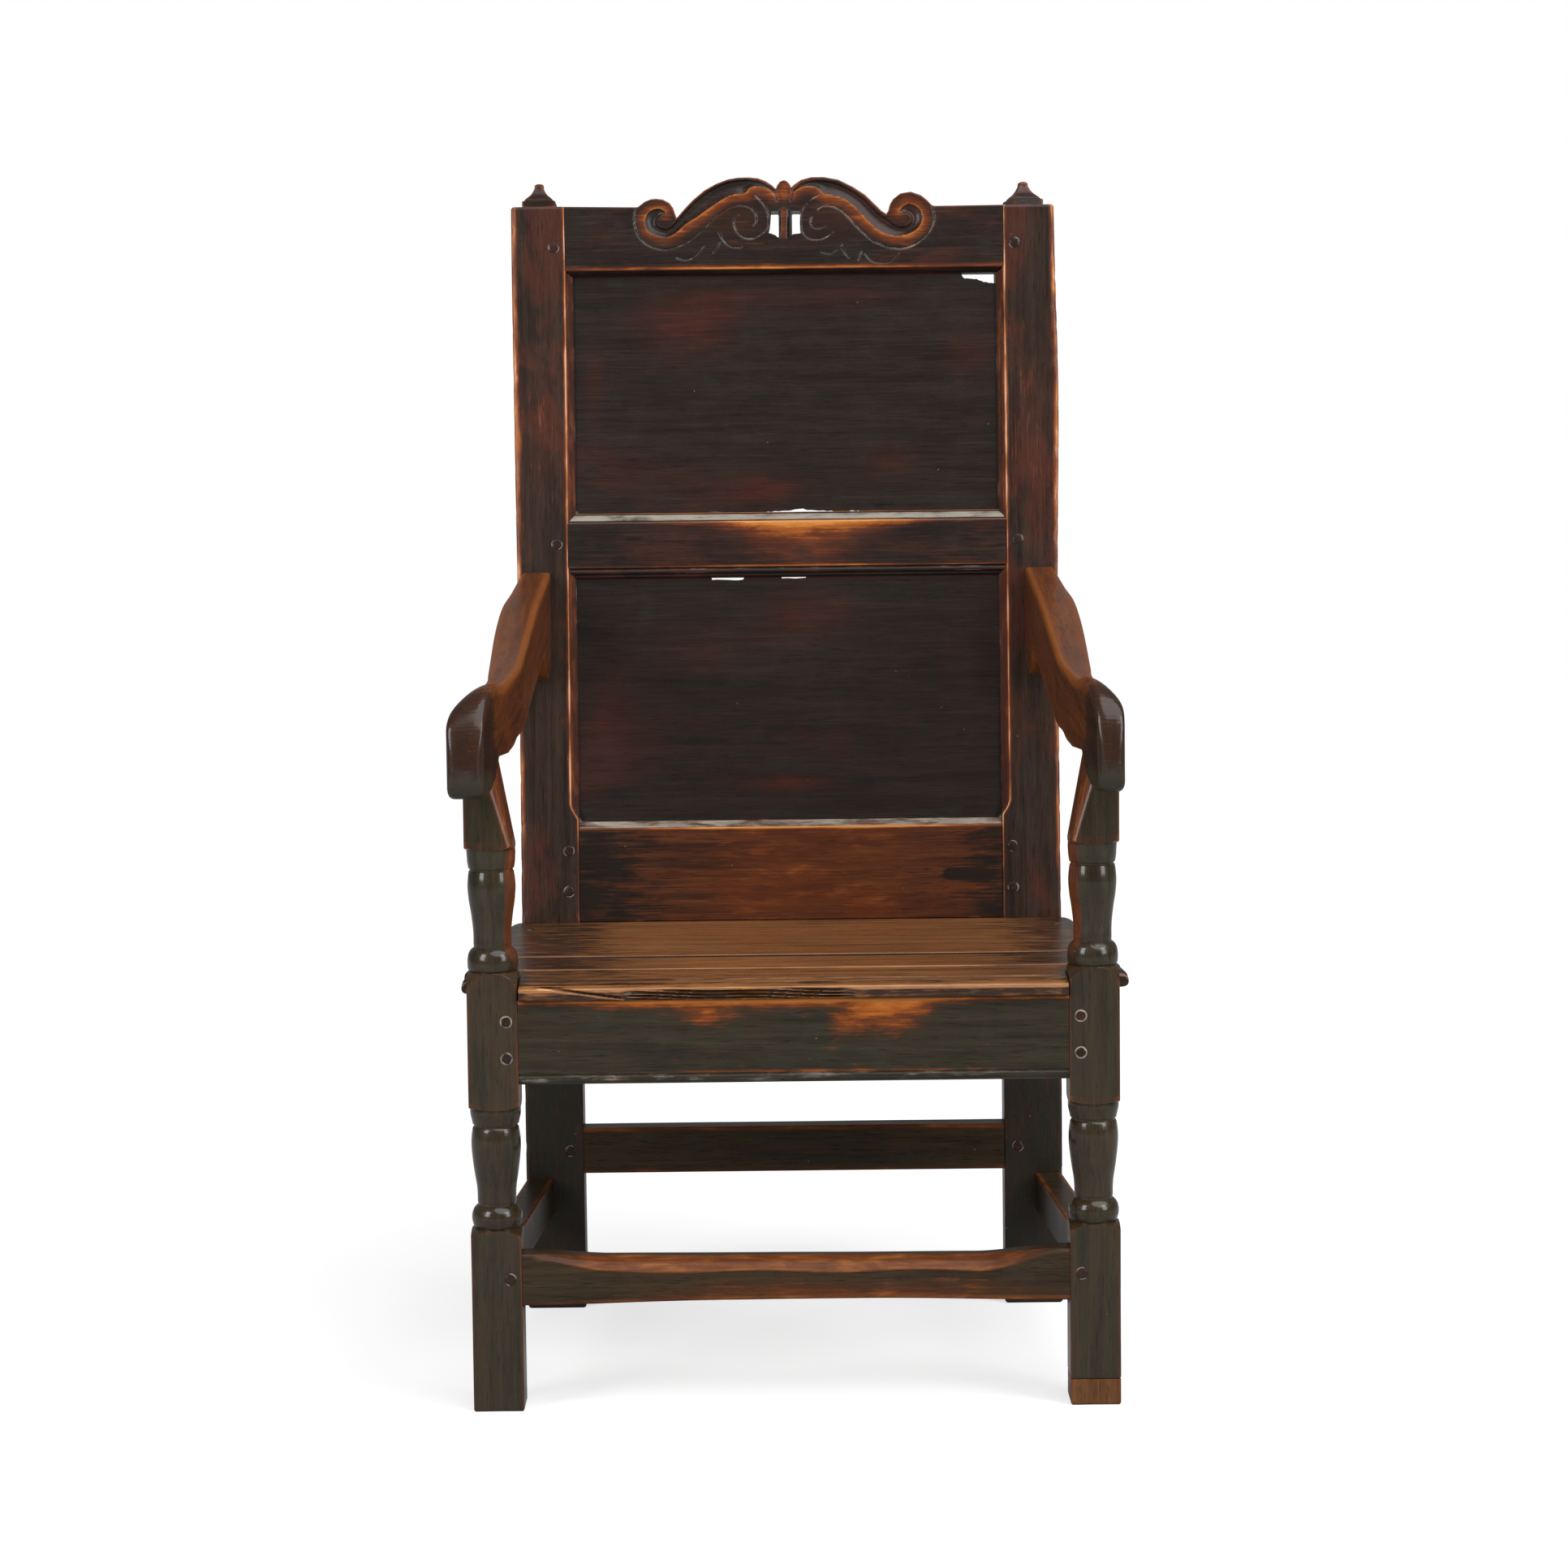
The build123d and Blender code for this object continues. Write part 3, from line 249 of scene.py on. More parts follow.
def oak(name, look):
    # oak, sawn or riven, stained and waxed for centuries: long dark pores over slow bands of brown,
    # nearly black where nothing rubs it, red and then orange where hands and cloth do, pale dust in corners.
    # On some pieces the dark layer is also painted shade, the pale wear layers painted highlights and the dust layer
    # painted sheen
    material = bpy.data.materials.new(name)
    material.use_nodes = True
    tree = material.node_tree
    tree.nodes.clear()
    place = addNode(tree, "ShaderNodeTexCoord").outputs["Object"]
    turned = addNode(tree, "ShaderNodeMapping", {}, {0: place, "Rotation": look.get("turn", (0, 0, 0)),
                                                     "Location": look.get("shift", (0, 0, 0))}).outputs[0]
    # each pattern: its width across the grain in mm, its stretch along the grain, detail, unevenness
    patterns = {
        "bands": (look.get("bandMm", 9.0), 0.05, 5.0, 0.5),  # growth rings
        "fibre": (1.7, 0.03, 4.0, 0.0),  # real fibres are finer, drawn this coarse to show
        "pores": (1.1, 0.05, 2.0, 0.0),  # real pores are 0.3 mm
        "blotch": (look.get("blotchMm", 70.0), 0.5, 4.0, 0.5),  # stain that took unevenly
        "grime": (26.0, 0.8, 4.0, 0.3),
        "rub": (9.0, 0.25, 4.0, 0.3),
    }
    value = {}
    for key, (width, stretch, detail, distortion) in patterns.items():
        scale = [1.0, 1.0, 1.0]
        scale["XYZ".index(look["grain"])] = stretch
        along = addNode(tree, "ShaderNodeMapping", {}, {0: turned, "Scale": scale}).outputs[0]
        value[key] = addNode(tree, "ShaderNodeTexNoise", {}, {
            "Vector": along, "Scale": 1 / (width * mm), "Detail": detail, "Roughness": 0.62,
            "Distortion": distortion}).outputs[0]
    for key in ("wearAndPaintedLight", "dustAndSheen"):
        value[key] = addNode(tree, "ShaderNodeAttribute", {"attribute_name": key}).outputs["Fac"]
    value["glow"] = value["wearAndPaintedLight"]
    # rubbed and dusty places are broken up by the grain
    broken = look.get("broken", 1.0)
    brokenBy = (("wearAndPaintedLight", (("rub", 1.3 * broken), ("fibre", 0.8 * broken))),
                ("dustAndSheen", (("rub", 1.0), ("pores", 0.4))))
    for key, breaks in brokenBy:
        for pattern, share in breaks:
            part = addNode(tree, "ShaderNodeMath", {"operation": "MULTIPLY_ADD"},
                           {0: value[pattern], 1: share, 2: -share / 2}).outputs[0]
            value[key] = addNode(tree, "ShaderNodeMath", {"operation": "ADD"}, {0: value[key], 1: part}).outputs[0]
    value["specks"] = addNode(tree, "ShaderNodeTexVoronoi", {}, {0: turned, "Scale": 1 / (26 * mm)}).outputs[0]
    bandRamp = addNode(tree, "ShaderNodeValToRGB", {}, {0: value["bands"]},
                       [(0.32, look["dark"]), (0.70, look["mid"])])
    colour = bandRamp.outputs[0]
    # each layer: what drives it, where it starts and is full, how strong it gets, its colour
    layers = [
        ("blotch", look.get("redFrom", 0.48), look.get("redTo", 0.70), look.get("redness", 0.6), look["red"]),
        ("grime", 0.50, 0.74, look.get("greyness", 0.35), look["grey"]),
        ("fibre", 0.52, 0.68, look.get("streak", 0.35), look["streakColour"]),
        ("pores", 0.56, 0.68, look.get("poreDepth", 0.7), look["pore"]),
        ("glow", 0.04, 0.60, look.get("glowing", 0.7), look.get("glow", look["halo"])),
        # below zero the wear value paints grime, and painted shade where a piece puts it
        ("wearAndPaintedLight", -0.20, -0.65, 0.9, look["grimeAndShade"]),
        # high wear values paint wear, and painted highlights where a piece puts them
        ("wearAndPaintedLight", 0.24, 0.62, 0.85, look["halo"]),
        ("wearAndPaintedLight", 0.52, 0.95, 1.0, look["worn"]),
        ("wearAndPaintedLight", 0.90, 1.30, 0.85, look["paleWearAndHighlight"]),
        ("specks", 0.022, 0.014, look.get("specks", 0.6), look["dustAndSheen"]),
        # the dust layer paints dust, and painted sheen where a piece puts it
        ("dustAndSheen", 0.42, 0.80, look.get("dustiness", 0.8), look["dustAndSheen"]),
    ]
    masks = {}
    for driver, low, high, amount, tint in layers:
        mask = addNode(tree, "ShaderNodeMapRange", {"interpolation_type": "SMOOTHSTEP"}, {
            0: value[driver], "From Min": low, "From Max": high, "To Max": amount}).outputs[0]
        masks[driver] = mask
        colour = addNode(tree, "ShaderNodeMix", {"data_type": "RGBA"},
                         {0: mask, 6: colour, 7: srgb(tint)}).outputs[2]
    rough = look.get("roughness", 0.36)
    for key, share in (("fibre", 0.22), ("grime", 0.2), ("bands", 0.1)):
        rough = addNode(tree, "ShaderNodeMath", {"operation": "MULTIPLY_ADD"},
                        {0: value[key], 1: share, 2: rough - 0.26 if isinstance(rough, float) else rough}).outputs[0]
    rough = addNode(tree, "ShaderNodeMath", {"operation": "MULTIPLY_ADD", "use_clamp": True},
                    {0: masks["dustAndSheen"], 1: 0.4, 2: rough}).outputs[0]
    height = 0.0
    for key, share in (("fibre", 0.8), ("pores", -0.5), ("rub", 0.5), ("grime", 1.2)):
        height = addNode(tree, "ShaderNodeMath", {"operation": "MULTIPLY_ADD"},
                         {0: value[key], 1: share, 2: height}).outputs[0]
    bump = addNode(tree, "ShaderNodeBump", {}, {"Height": height, "Strength": look.get("bump", 0.5),
                                                "Distance": 0.5 * mm}).outputs[0]
    wax = look.get("wax", 0.1)  # it is thinner on rubbed wood
    coat = addNode(tree, "ShaderNodeMapRange", {}, {
        0: value["glow"], "From Min": 0.1, "From Max": 0.6, "To Min": wax, "To Max": 0.4 * wax}).outputs[0]
    shader = addNode(tree, "ShaderNodeBsdfPrincipled", {}, {
        "Base Color": colour, "Roughness": rough, "Normal": bump, "Specular IOR Level": look.get("specular", 0.25),
        "Coat Weight": coat, "Coat Roughness": look.get("waxRoughness", 0.22)})
    addNode(tree, "ShaderNodeOutputMaterial", {}, {0: shader.outputs[0]})
    return material


frameLook = {
    "grain": "X", "dark": "#191210", "mid": "#271b16", "red": "#55271a", "grey": "#2c2823", "streakColour": "#452a1c",
    "pore": "#0e0a08", "grimeAndShade": "#14110e", "halo": "#622e16", "worn": "#98541f", "paleWearAndHighlight": "#c68440",
    "glow": "#542a15", "dustAndSheen": "#9c9487", "redness": 0.45, "roughness": 0.34,
}
railOak = oak("waxed_oak_rails", frameLook)
postOak = oak("waxed_oak_posts", {
    **frameLook, "grain": "Z", "turn": (rake, 0, 0), "shift": (0.3, 0, 0), "dark": "#1a1310", "mid": "#36261d",
    "blotchMm": 45.0, "redFrom": 0.48, "redTo": 0.64, "redness": 0.38, "red": "#5c2a1c", "grimeAndShade": "#25231a",
    "glow": "#55291c", "halo": "#6e3b26", "worn": "#a0602e", "paleWearAndHighlight": "#d9a888"})
panelOak = oak("waxed_oak_panels", {
    **frameLook, "dark": "#191411", "mid": "#271d18", "red": "#421a14", "grey": "#24221c", "streakColour": "#35201a",
    "halo": "#451d14", "glow": "#3b1810", "glowing": 0.8, "broken": 0.5, "worn": "#7c4020", "redness": 0.4,
    "redFrom": 0.53, "redTo": 0.72, "blotchMm": 110.0, "shift": (0.1, 0.2, 0.4)})
lowerRailOak = oak("waxed_oak_lower_rail", {
    **frameLook, "dark": "#2e170b", "mid": "#542911", "red": "#642c10", "grey": "#32201a", "streakColour": "#6a3a18",
    "greyness": 0.25, "glow": "#58290f", "halo": "#683414", "shift": (0.7, 0.1, 0.2)})
frontRailOak = oak("waxed_oak_front_rail", {
    **frameLook, "dark": "#1c1910", "mid": "#332c1e", "red": "#402818", "grey": "#2d2c24", "streakColour": "#3d3428",
    "greyness": 0.5, "redness": 0.3, "halo": "#68320f", "glow": "#4a2814", "worn": "#985018",
    "paleWearAndHighlight": "#b87030", "broken": 1.3, "shift": (0.2, 0.4, 0.9)})
seatOak = oak("polished_oak_seat", {
    **frameLook, "dark": "#5b3920", "mid": "#986236", "red": "#8e5530", "grey": "#735840", "streakColour": "#9a6a40",
    "pore": "#301b0e", "grimeAndShade": "#170e08", "halo": "#93602f", "worn": "#a06c3c", "paleWearAndHighlight": "#d0a070",
    "roughness": 0.30, "wax": 0.3, "waxRoughness": 0.25})
armOak = oak("polished_oak_arms", {
    **frameLook, "grain": "Y", "turn": (math.radians(-12), 0, 0), "dark": "#40200c", "mid": "#6b3815",
    "red": "#743a18", "grey": "#432b1a", "streakColour": "#78431c", "pore": "#26130a", "grimeAndShade": "#24160f",
    "dustAndSheen": "#302d21", "glow": "#75401a", "halo": "#75401a", "worn": "#8a5226", "paleWearAndHighlight": "#b07a48",
    "wax": 0.4, "waxRoughness": 0.14, "specular": 0.15, "broken": 0.35})
legOak = oak("waxed_oak_legs", {
    **frameLook, "grain": "Z", "dark": "#1e190e", "mid": "#352b19", "red": "#402a16", "grey": "#2e2a1d",
    "streakColour": "#3d3220", "greyness": 0.5, "redness": 0.35, "grimeAndShade": "#231d11", "glow": "#4e2a1a",
    "specular": 0.12, "halo": "#5c301a", "worn": "#82481f", "paleWearAndHighlight": "#b07a48", "roughness": 0.28,
    "wax": 0.6, "waxRoughness": 0.12, "broken": 0.7, "shift": (0, 0.5, 0)})
stretcherOak = oak("waxed_oak_stretchers", {
    **frameLook, "dark": "#231c14", "mid": "#3a2d1d", "red": "#4c2e1a", "grey": "#35312a", "streakColour": "#47371f",
    "greyness": 0.5, "redness": 0.4, "halo": "#64361a", "worn": "#845024", "wax": 0.12,
    "specular": 0.12})
pegOak = oak("oak_pegs", {**frameLook, "grain": "Y", "dark": "#17100c", "mid": "#2b1a14", "red": "#46201a"})
footOak = oak("repaired_oak_foot", {
    **frameLook, "grain": "Z", "dark": "#4a2e15", "mid": "#66401f", "red": "#6b3d20", "halo": "#6e4520",
    "streakColour": "#744f2b", "grey": "#4c3c28"})
print("materials made")

backPost = {"inner": backOpening, "outer": 266.0, "depth": 46.0, "rise": postTop, "chamfer": 8.2,
            "chamferFrom": 99.5, "chamferRun": 18.0, "arris": 2.6}


def postPlace(x, height, depth):
    # upright to the knee at the seat, then leaning back
    lean = raked(x, height - seatTop, depth)
    knee = seatTop - np.asarray(depth, float) * math.tan(rake / 2)
    plain = np.stack(np.broadcast_arrays(x, backY + depth, height), axis=-1).astype(float)
    low = np.broadcast_to(height < knee, plain.shape[:-1])
    return np.where(low[..., None], plain, lean)


def makePost(side):
    size = backPost
    x0, d1 = size["inner"], size["depth"]
    top = seatTop + size["rise"] + (2.4 if side < 0 else -0.6)
    rings, wearAndPaintedLightRows, dustAndSheenRows = [], [], []
    for h in stations(0, top, 6.0, (0, seatTop + size["chamferFrom"], seatTop + 109, seatTop + crestLow, top)):
        rise = h - seatTop
        # sawn a little wide towards the top on the left, and bowed out on the right
        wider, bowed = 3.0 * float(smooth(150, 690, rise)), 3.2 * math.exp(-((rise - 515) / 130) ** 2)
        x1 = size["outer"] + (wider if side < 0 else bowed)
        c = max(0.9, size["chamfer"] * float(smooth(0, size["chamferRun"], rise - size["chamferFrom"])) ** 0.6)
        tuck = 1.3 * max(0.0, 1 - min(h, top - h) / 1.9)
        corners = [(x0 + c, 0, 0.8), (x1, 0, size["arris"]), (x1, d1, 2.0), (x0, d1, 1.5), (x0, c, 0.8)]
        pts, near, away = section(corners, (11, 9, 9, 7, 3))
        pts = pts + (np.array([(x0 + x1) / 2, d1 / 2]) - pts) * (tuck / 24)
        ring = postPlace(pts[:, 0], h, pts[:, 1])
        inward = np.column_stack(((x0 + x1) / 2 - pts[:, 0], d1 / 2 - pts[:, 1], 0 * pts[:, 0])) / 30
        nick = np.maximum(0, ripple(ring, 7.0, 3.0 * side) - 0.42) * np.exp(-away / 2.5) * (near == 1) * 2.4
        ring = ring + inward * (nick + 0.12 + 0.12 * ripple(ring, 60.0, side))[:, None]
        above = float(smooth(20, 130, rise))
        strength = np.array([1.25, 0.85, 0.4, 0.2, 0.25])
        width = np.array([0.9, 1.4, 2.5, 2.5, 1.0])
        patchy = 0.85 + 0.3 * math.sin(rise / 31.0 + 2 * side + 1.7 * math.sin(rise / 74.0)) * math.sin(rise / 13.0)
        w = strength[near] * np.exp(-(away / width[near]) ** 2) * (0.45 + 0.55 * above) * patchy
        band = (0.66 if side < 0 else 0.5) * (near == 1) * np.exp(-(np.maximum(away - 1, 0) / 2.0) ** 2)
        band = band * (pts[:, 1] < 2)
        w = np.maximum(w, band * float(smooth(330, 420, rise)))
        # the chamfer facet is painted lighter: a painted highlight where it faces the light
        w = w + 0.30 * (pts[:, 0] < x0 + c - 1) * (pts[:, 1] < c - 1) * above
        w = w + 0.28 * math.exp(-((rise - 490) / 75.0) ** 2) * np.exp(-((pts[:, 0] - 240) / 24) ** 2) * (pts[:, 1] < 2)
        w = w - 0.55 * float(smooth(10, -60, rise))  # darker and green-grey below the seat
        rings.append(ring)
        wearAndPaintedLightRows.append(w)
        dustAndSheenRows.append(0.45 * (near == 4) * np.exp(-away / 1.2) * above)
    bm = tube(rings, wearAndPaintedLightRows, dustAndSheenRows)
    return bm if side > 0 else otherSide(bm)


for side, word in sides:
    finishPiece(makePost(side), word + "_back_post", ["back_post_" + word], postOak)
print("back posts")


def railAcross(corners, perSide, halfWidth, place, look, step=5.0, fine=(), scribed=0.0, uneven=0.15):
    # a section (depth, height) run across the chair. look gives wear and dust, and on some rails painted sheen, for a
    # place across
    pts, near, away = section(corners, perSide)
    spots = stations(-halfWidth, halfWidth, step, (-halfWidth, halfWidth) + tuple(fine))
    reach = (halfWidth - np.clip(pts[:, 0], 0, scribed)) / halfWidth
    rings, wearAndPaintedLightRows, dustAndSheenRows = [], [], []
    for x in spots:
        ring = place(x * reach, pts[:, 1], pts[:, 0])
        ring = ring + uneven * ripple(ring, 55.0, corners[0][1])[:, None] * np.array([0, 0.7, 0.5])
        wearAndPaintedLight, dustAndSheen = look(x, near, away, pts)
        rings.append(ring)
        wearAndPaintedLightRows.append(wearAndPaintedLight)
        dustAndSheenRows.append(dustAndSheen)
    return tube(rings, wearAndPaintedLightRows, dustAndSheenRows)


middleRail = {"half": 216.6, "low": 338.6, "high": 402.5, "mould": 10.2}


def middleLook(x, near, away, pts):
    centre = math.exp(-((x - 20) / 95.0) ** 2)
    face = pts[:, 0] < 0.6
    fromTop = middleRail["high"] - middleRail["mould"] - pts[:, 1]
    fromLow = pts[:, 1] - middleRail["low"] - middleRail["mould"]
    wearAndPaintedLight = face * (np.exp(-np.maximum(fromTop, 0) / 24) * 1.0 * centre - 0.30 * (1 - centre)
                   + 0.6 * np.exp(-np.maximum(fromTop, 0) / 3) + 0.8 * np.exp(-(fromLow / 1.6) ** 2))
    wearAndPaintedLight = wearAndPaintedLight + np.isin(near, (5, 6)) * 0.5 * centre - 0.3 * np.isin(near, (9, 10, 13, 14))
    wearAndPaintedLight = wearAndPaintedLight + 1.2 * (near == 0) * (pts[:, 1] > 395)
    # the top moulding is painted pale: a painted sheen on it, with dust
    dustAndSheen = 0.72 * np.isin(near, (2, 3, 4)) + 0.45 * np.isin(near, (10, 12)) * np.exp(-away / 2)
    return wearAndPaintedLight, dustAndSheen


low, high = middleRail["low"], middleRail["high"]
middleCorners = [
    (8.3, high, 0.3), (6.9, high - 0.6, 0.4), (6.8, high - 2.0, 0.3), (4.6, high - 4.2, 0.6),
    (2.4, high - 6.8, 0.4), (2.6, high - 8.2, 0.3), (0.9, high - 8.6, 0.3), (0.0, high - 10.2, 0.8),
    (0.0, low + 10.2, 0.8), (1.6, low + 9.4, 0.3), (2.4, low + 8.4, 0.3), (1.4, low + 6.4, 0.6),
    (2.2, low + 4.6, 0.5), (5.2, low + 3.4, 0.4), (6.0, low + 1.2, 0.4), (8.0, low, 0.4), (railThick, low, 1.0),
    (railThick, high, 1.0),
]
middleCounts = [1, 1, 1, 2, 1, 1, 1, 14, 1, 1, 1, 1, 1, 1, 1, 4, 7, 4]
bm = railAcross(middleCorners, middleCounts, middleRail["half"], raked, middleLook, scribed=8.2)
finishPiece(bm, "middle_rail", ["mid_rail"], railOak)

lowerRail = {"half": backOpening, "high": 98.5, "bevel": 7.0}


def lowerLook(x, near, away, pts):
    centre = math.exp(-((x - 20) / 150.0) ** 4)
    face = pts[:, 0] < 0.6
    bevel = (pts[:, 0] > 0.9) & (pts[:, 0] < 7.2) & (pts[:, 1] > 90)
    wearAndPaintedLight = (near == 1) * np.exp(-(away / 1.4) ** 2) * 1.1 * ~bevel + face * (0.34 * centre - 0.65 * (1 - centre))
    # a dark gouge near the right end, with dust along its rim
    u, v = x - 174 - 0.8 * (pts[:, 1] - 43), pts[:, 1] - 43 + 0.08 * (x - 174)
    gouge = face * np.exp(-((u / 24.0) ** 6 + (v / 5.2) ** 4))
    wearAndPaintedLight = wearAndPaintedLight - 1.6 * gouge
    # the top bevel is painted pale: a painted sheen where it faces up; dust lies along the lower front arris and round
    # the gouge
    dustAndSheen = 0.62 * bevel + 0.35 * (near == 2) * np.exp(-away / 2) + 1.3 * gouge * (1 - gouge)
    return wearAndPaintedLight, dustAndSheen


high = lowerRail["high"]
bevel = lowerRail["bevel"]
lowerCorners = [(bevel, high, 0.4), (0.0, high - bevel, 1.2), (0.0, 0.3, 0.5), (railThick, 2.9, 0.5),
                (railThick, high, 1.0)]
bm = railAcross(lowerCorners, [4, 48, 4, 9, 4], lowerRail["half"], raked, lowerLook, step=4.0)
finishPiece(bm, "lower_back_rail_board", ["lower_back_rail"], lowerRailOak)
print("rails of the back")

panelShape = {
    "half": 216.4, "face": 10.2, "edge": 7.6, "field": 5.0, "feather": 32.0,
    # where backs and heads rubbed it: across, up the rake, half width, half height, how much
    "patches": [(-98, 584, 62, 40, 0.38), (40, 616, 150, 20, 0.28), (-28, 425, 70, 20, 0.36),
    (102, 452, 40, 26, 0.30),
                (178, 560, 30, 40, 0.28), (22, 302, 70, 34, 0.32), (-178, 205, 36, 60, 0.30),
                (0, 134, 60, 10, 0.42), (-90, 262, 80, 30, 0.24), (170, 250, 34, 70, 0.24),
                (-190, 520, 14, 60, 0.26)],
}
upperLow, upperHigh = middleRail["high"], crestLow
lowerLow, lowerHigh = lowerRail["high"], middleRail["low"]


def makePanel(low, high, topOf, bottomOf, seed, fine):
    shape = panelShape
    fractions = np.concatenate(([0, 0.004, 0.012, 0.03], np.linspace(0.05, 0.95, 46), [0.97, 0.988, 0.996, 1]))
    rings, wearAndPaintedLightRows, dustAndSheenRows = [], [], []
    for x in stations(-shape["half"], shape["half"], 4.0, fine):
        top, bottom = topOf(x), bottomOf(x)
        rises = bottom + (top - bottom) * fractions
        swell = min(1.0, (shape["half"] - abs(x)) / shape["feather"]) * shape["field"]
        backDepth = shape["face"] + shape["edge"] + np.array([0, 0, swell, swell, 0, 0])
        front = np.column_stack((np.full(len(rises), shape["face"]), rises))
        back = np.column_stack((backDepth, [top, top - 9, top - 41, bottom + 41, bottom + 9, bottom]))
        pts = np.vstack((front, back))
        ring = raked(np.full(len(pts), x), pts[:, 1], pts[:, 0])
        ring[:len(rises), 1] += 0.4 * ripple(ring * [1, 1, 1.8], 90.0, seed)[:len(rises)]
        fromSide = max(0.0, backOpening - abs(x))
        onFront = pts[:, 0] < 11
        rings.append(ring)
        worn = sum(much * np.exp(-((x - px) / wide) ** 2 - ((pts[:, 1] - up) / tall) ** 2)
                   for px, up, wide, tall, much in shape["patches"])
        wearAndPaintedLightRows.append(onFront * (worn + 0.5 * np.exp(-(high - pts[:, 1] - 1) ** 2 / 4.0)))
        dustAndSheenRows.append(onFront * (0.5 * np.exp(-np.abs(pts[:, 1] - low) / 2.2) + 0.33 * math.exp(-fromSide / 2.0)))
    return tube(rings, wearAndPaintedLightRows, dustAndSheenRows)


def upperTop(x):
    # the corner under the crest rail is broken away
    broken = np.interp(x, [174, 175.2, 177, 190, 196, 209, 217], [-8, 2.0, 5.5, 6.5, 9.0, 11.4, 11.8])
    return upperHigh - broken + (0.25 * math.sin(x * 1.3) if x > 176 else 0)


def upperBottom(x):
    # and a ragged gap has opened above the middle rail
    gap = np.interp(x, [-21, -20, -8, 2, 11, 14, 18, 30, 48, 50, 61, 62, 71, 72],
                    [-8, 0.6, 1.3, 1.6, 3.2, 4.0, 2.4, 1.5, 0.7, -8, -8, 1.0, 0.8, -8])
    return upperLow + gap + (0.3 * math.sin(x * 0.9) if gap > 0 else 0)


def lowerTop(x):
    gap = np.interp(x, [-76, -75, -70, -55, -50, -43, -41.5, -7, -6, 0, 8, 18, 19],
                    [-8, 2.4, 2.1, 2.7, 3.2, 2.2, -8, -8, 1.6, 1.4, 1.9, 1.2, -8])
    return lowerHigh - gap


bm = makePanel(upperLow, upperHigh, upperTop, upperBottom, 1.0, (-20.5, 49, 61.5, 71.5, 174.6, 190, 196))
finishPiece(bm, "upper_panel_board", ["upper_panel"], panelOak)
bm = makePanel(lowerLow, lowerHigh, lowerTop, lambda x: lowerLow - 8, 5.0, (-75.5, -42, -6.5, 18.5))
finishPiece(bm, "lower_panel_board", ["lower_panel"], panelOak)
print("panels")

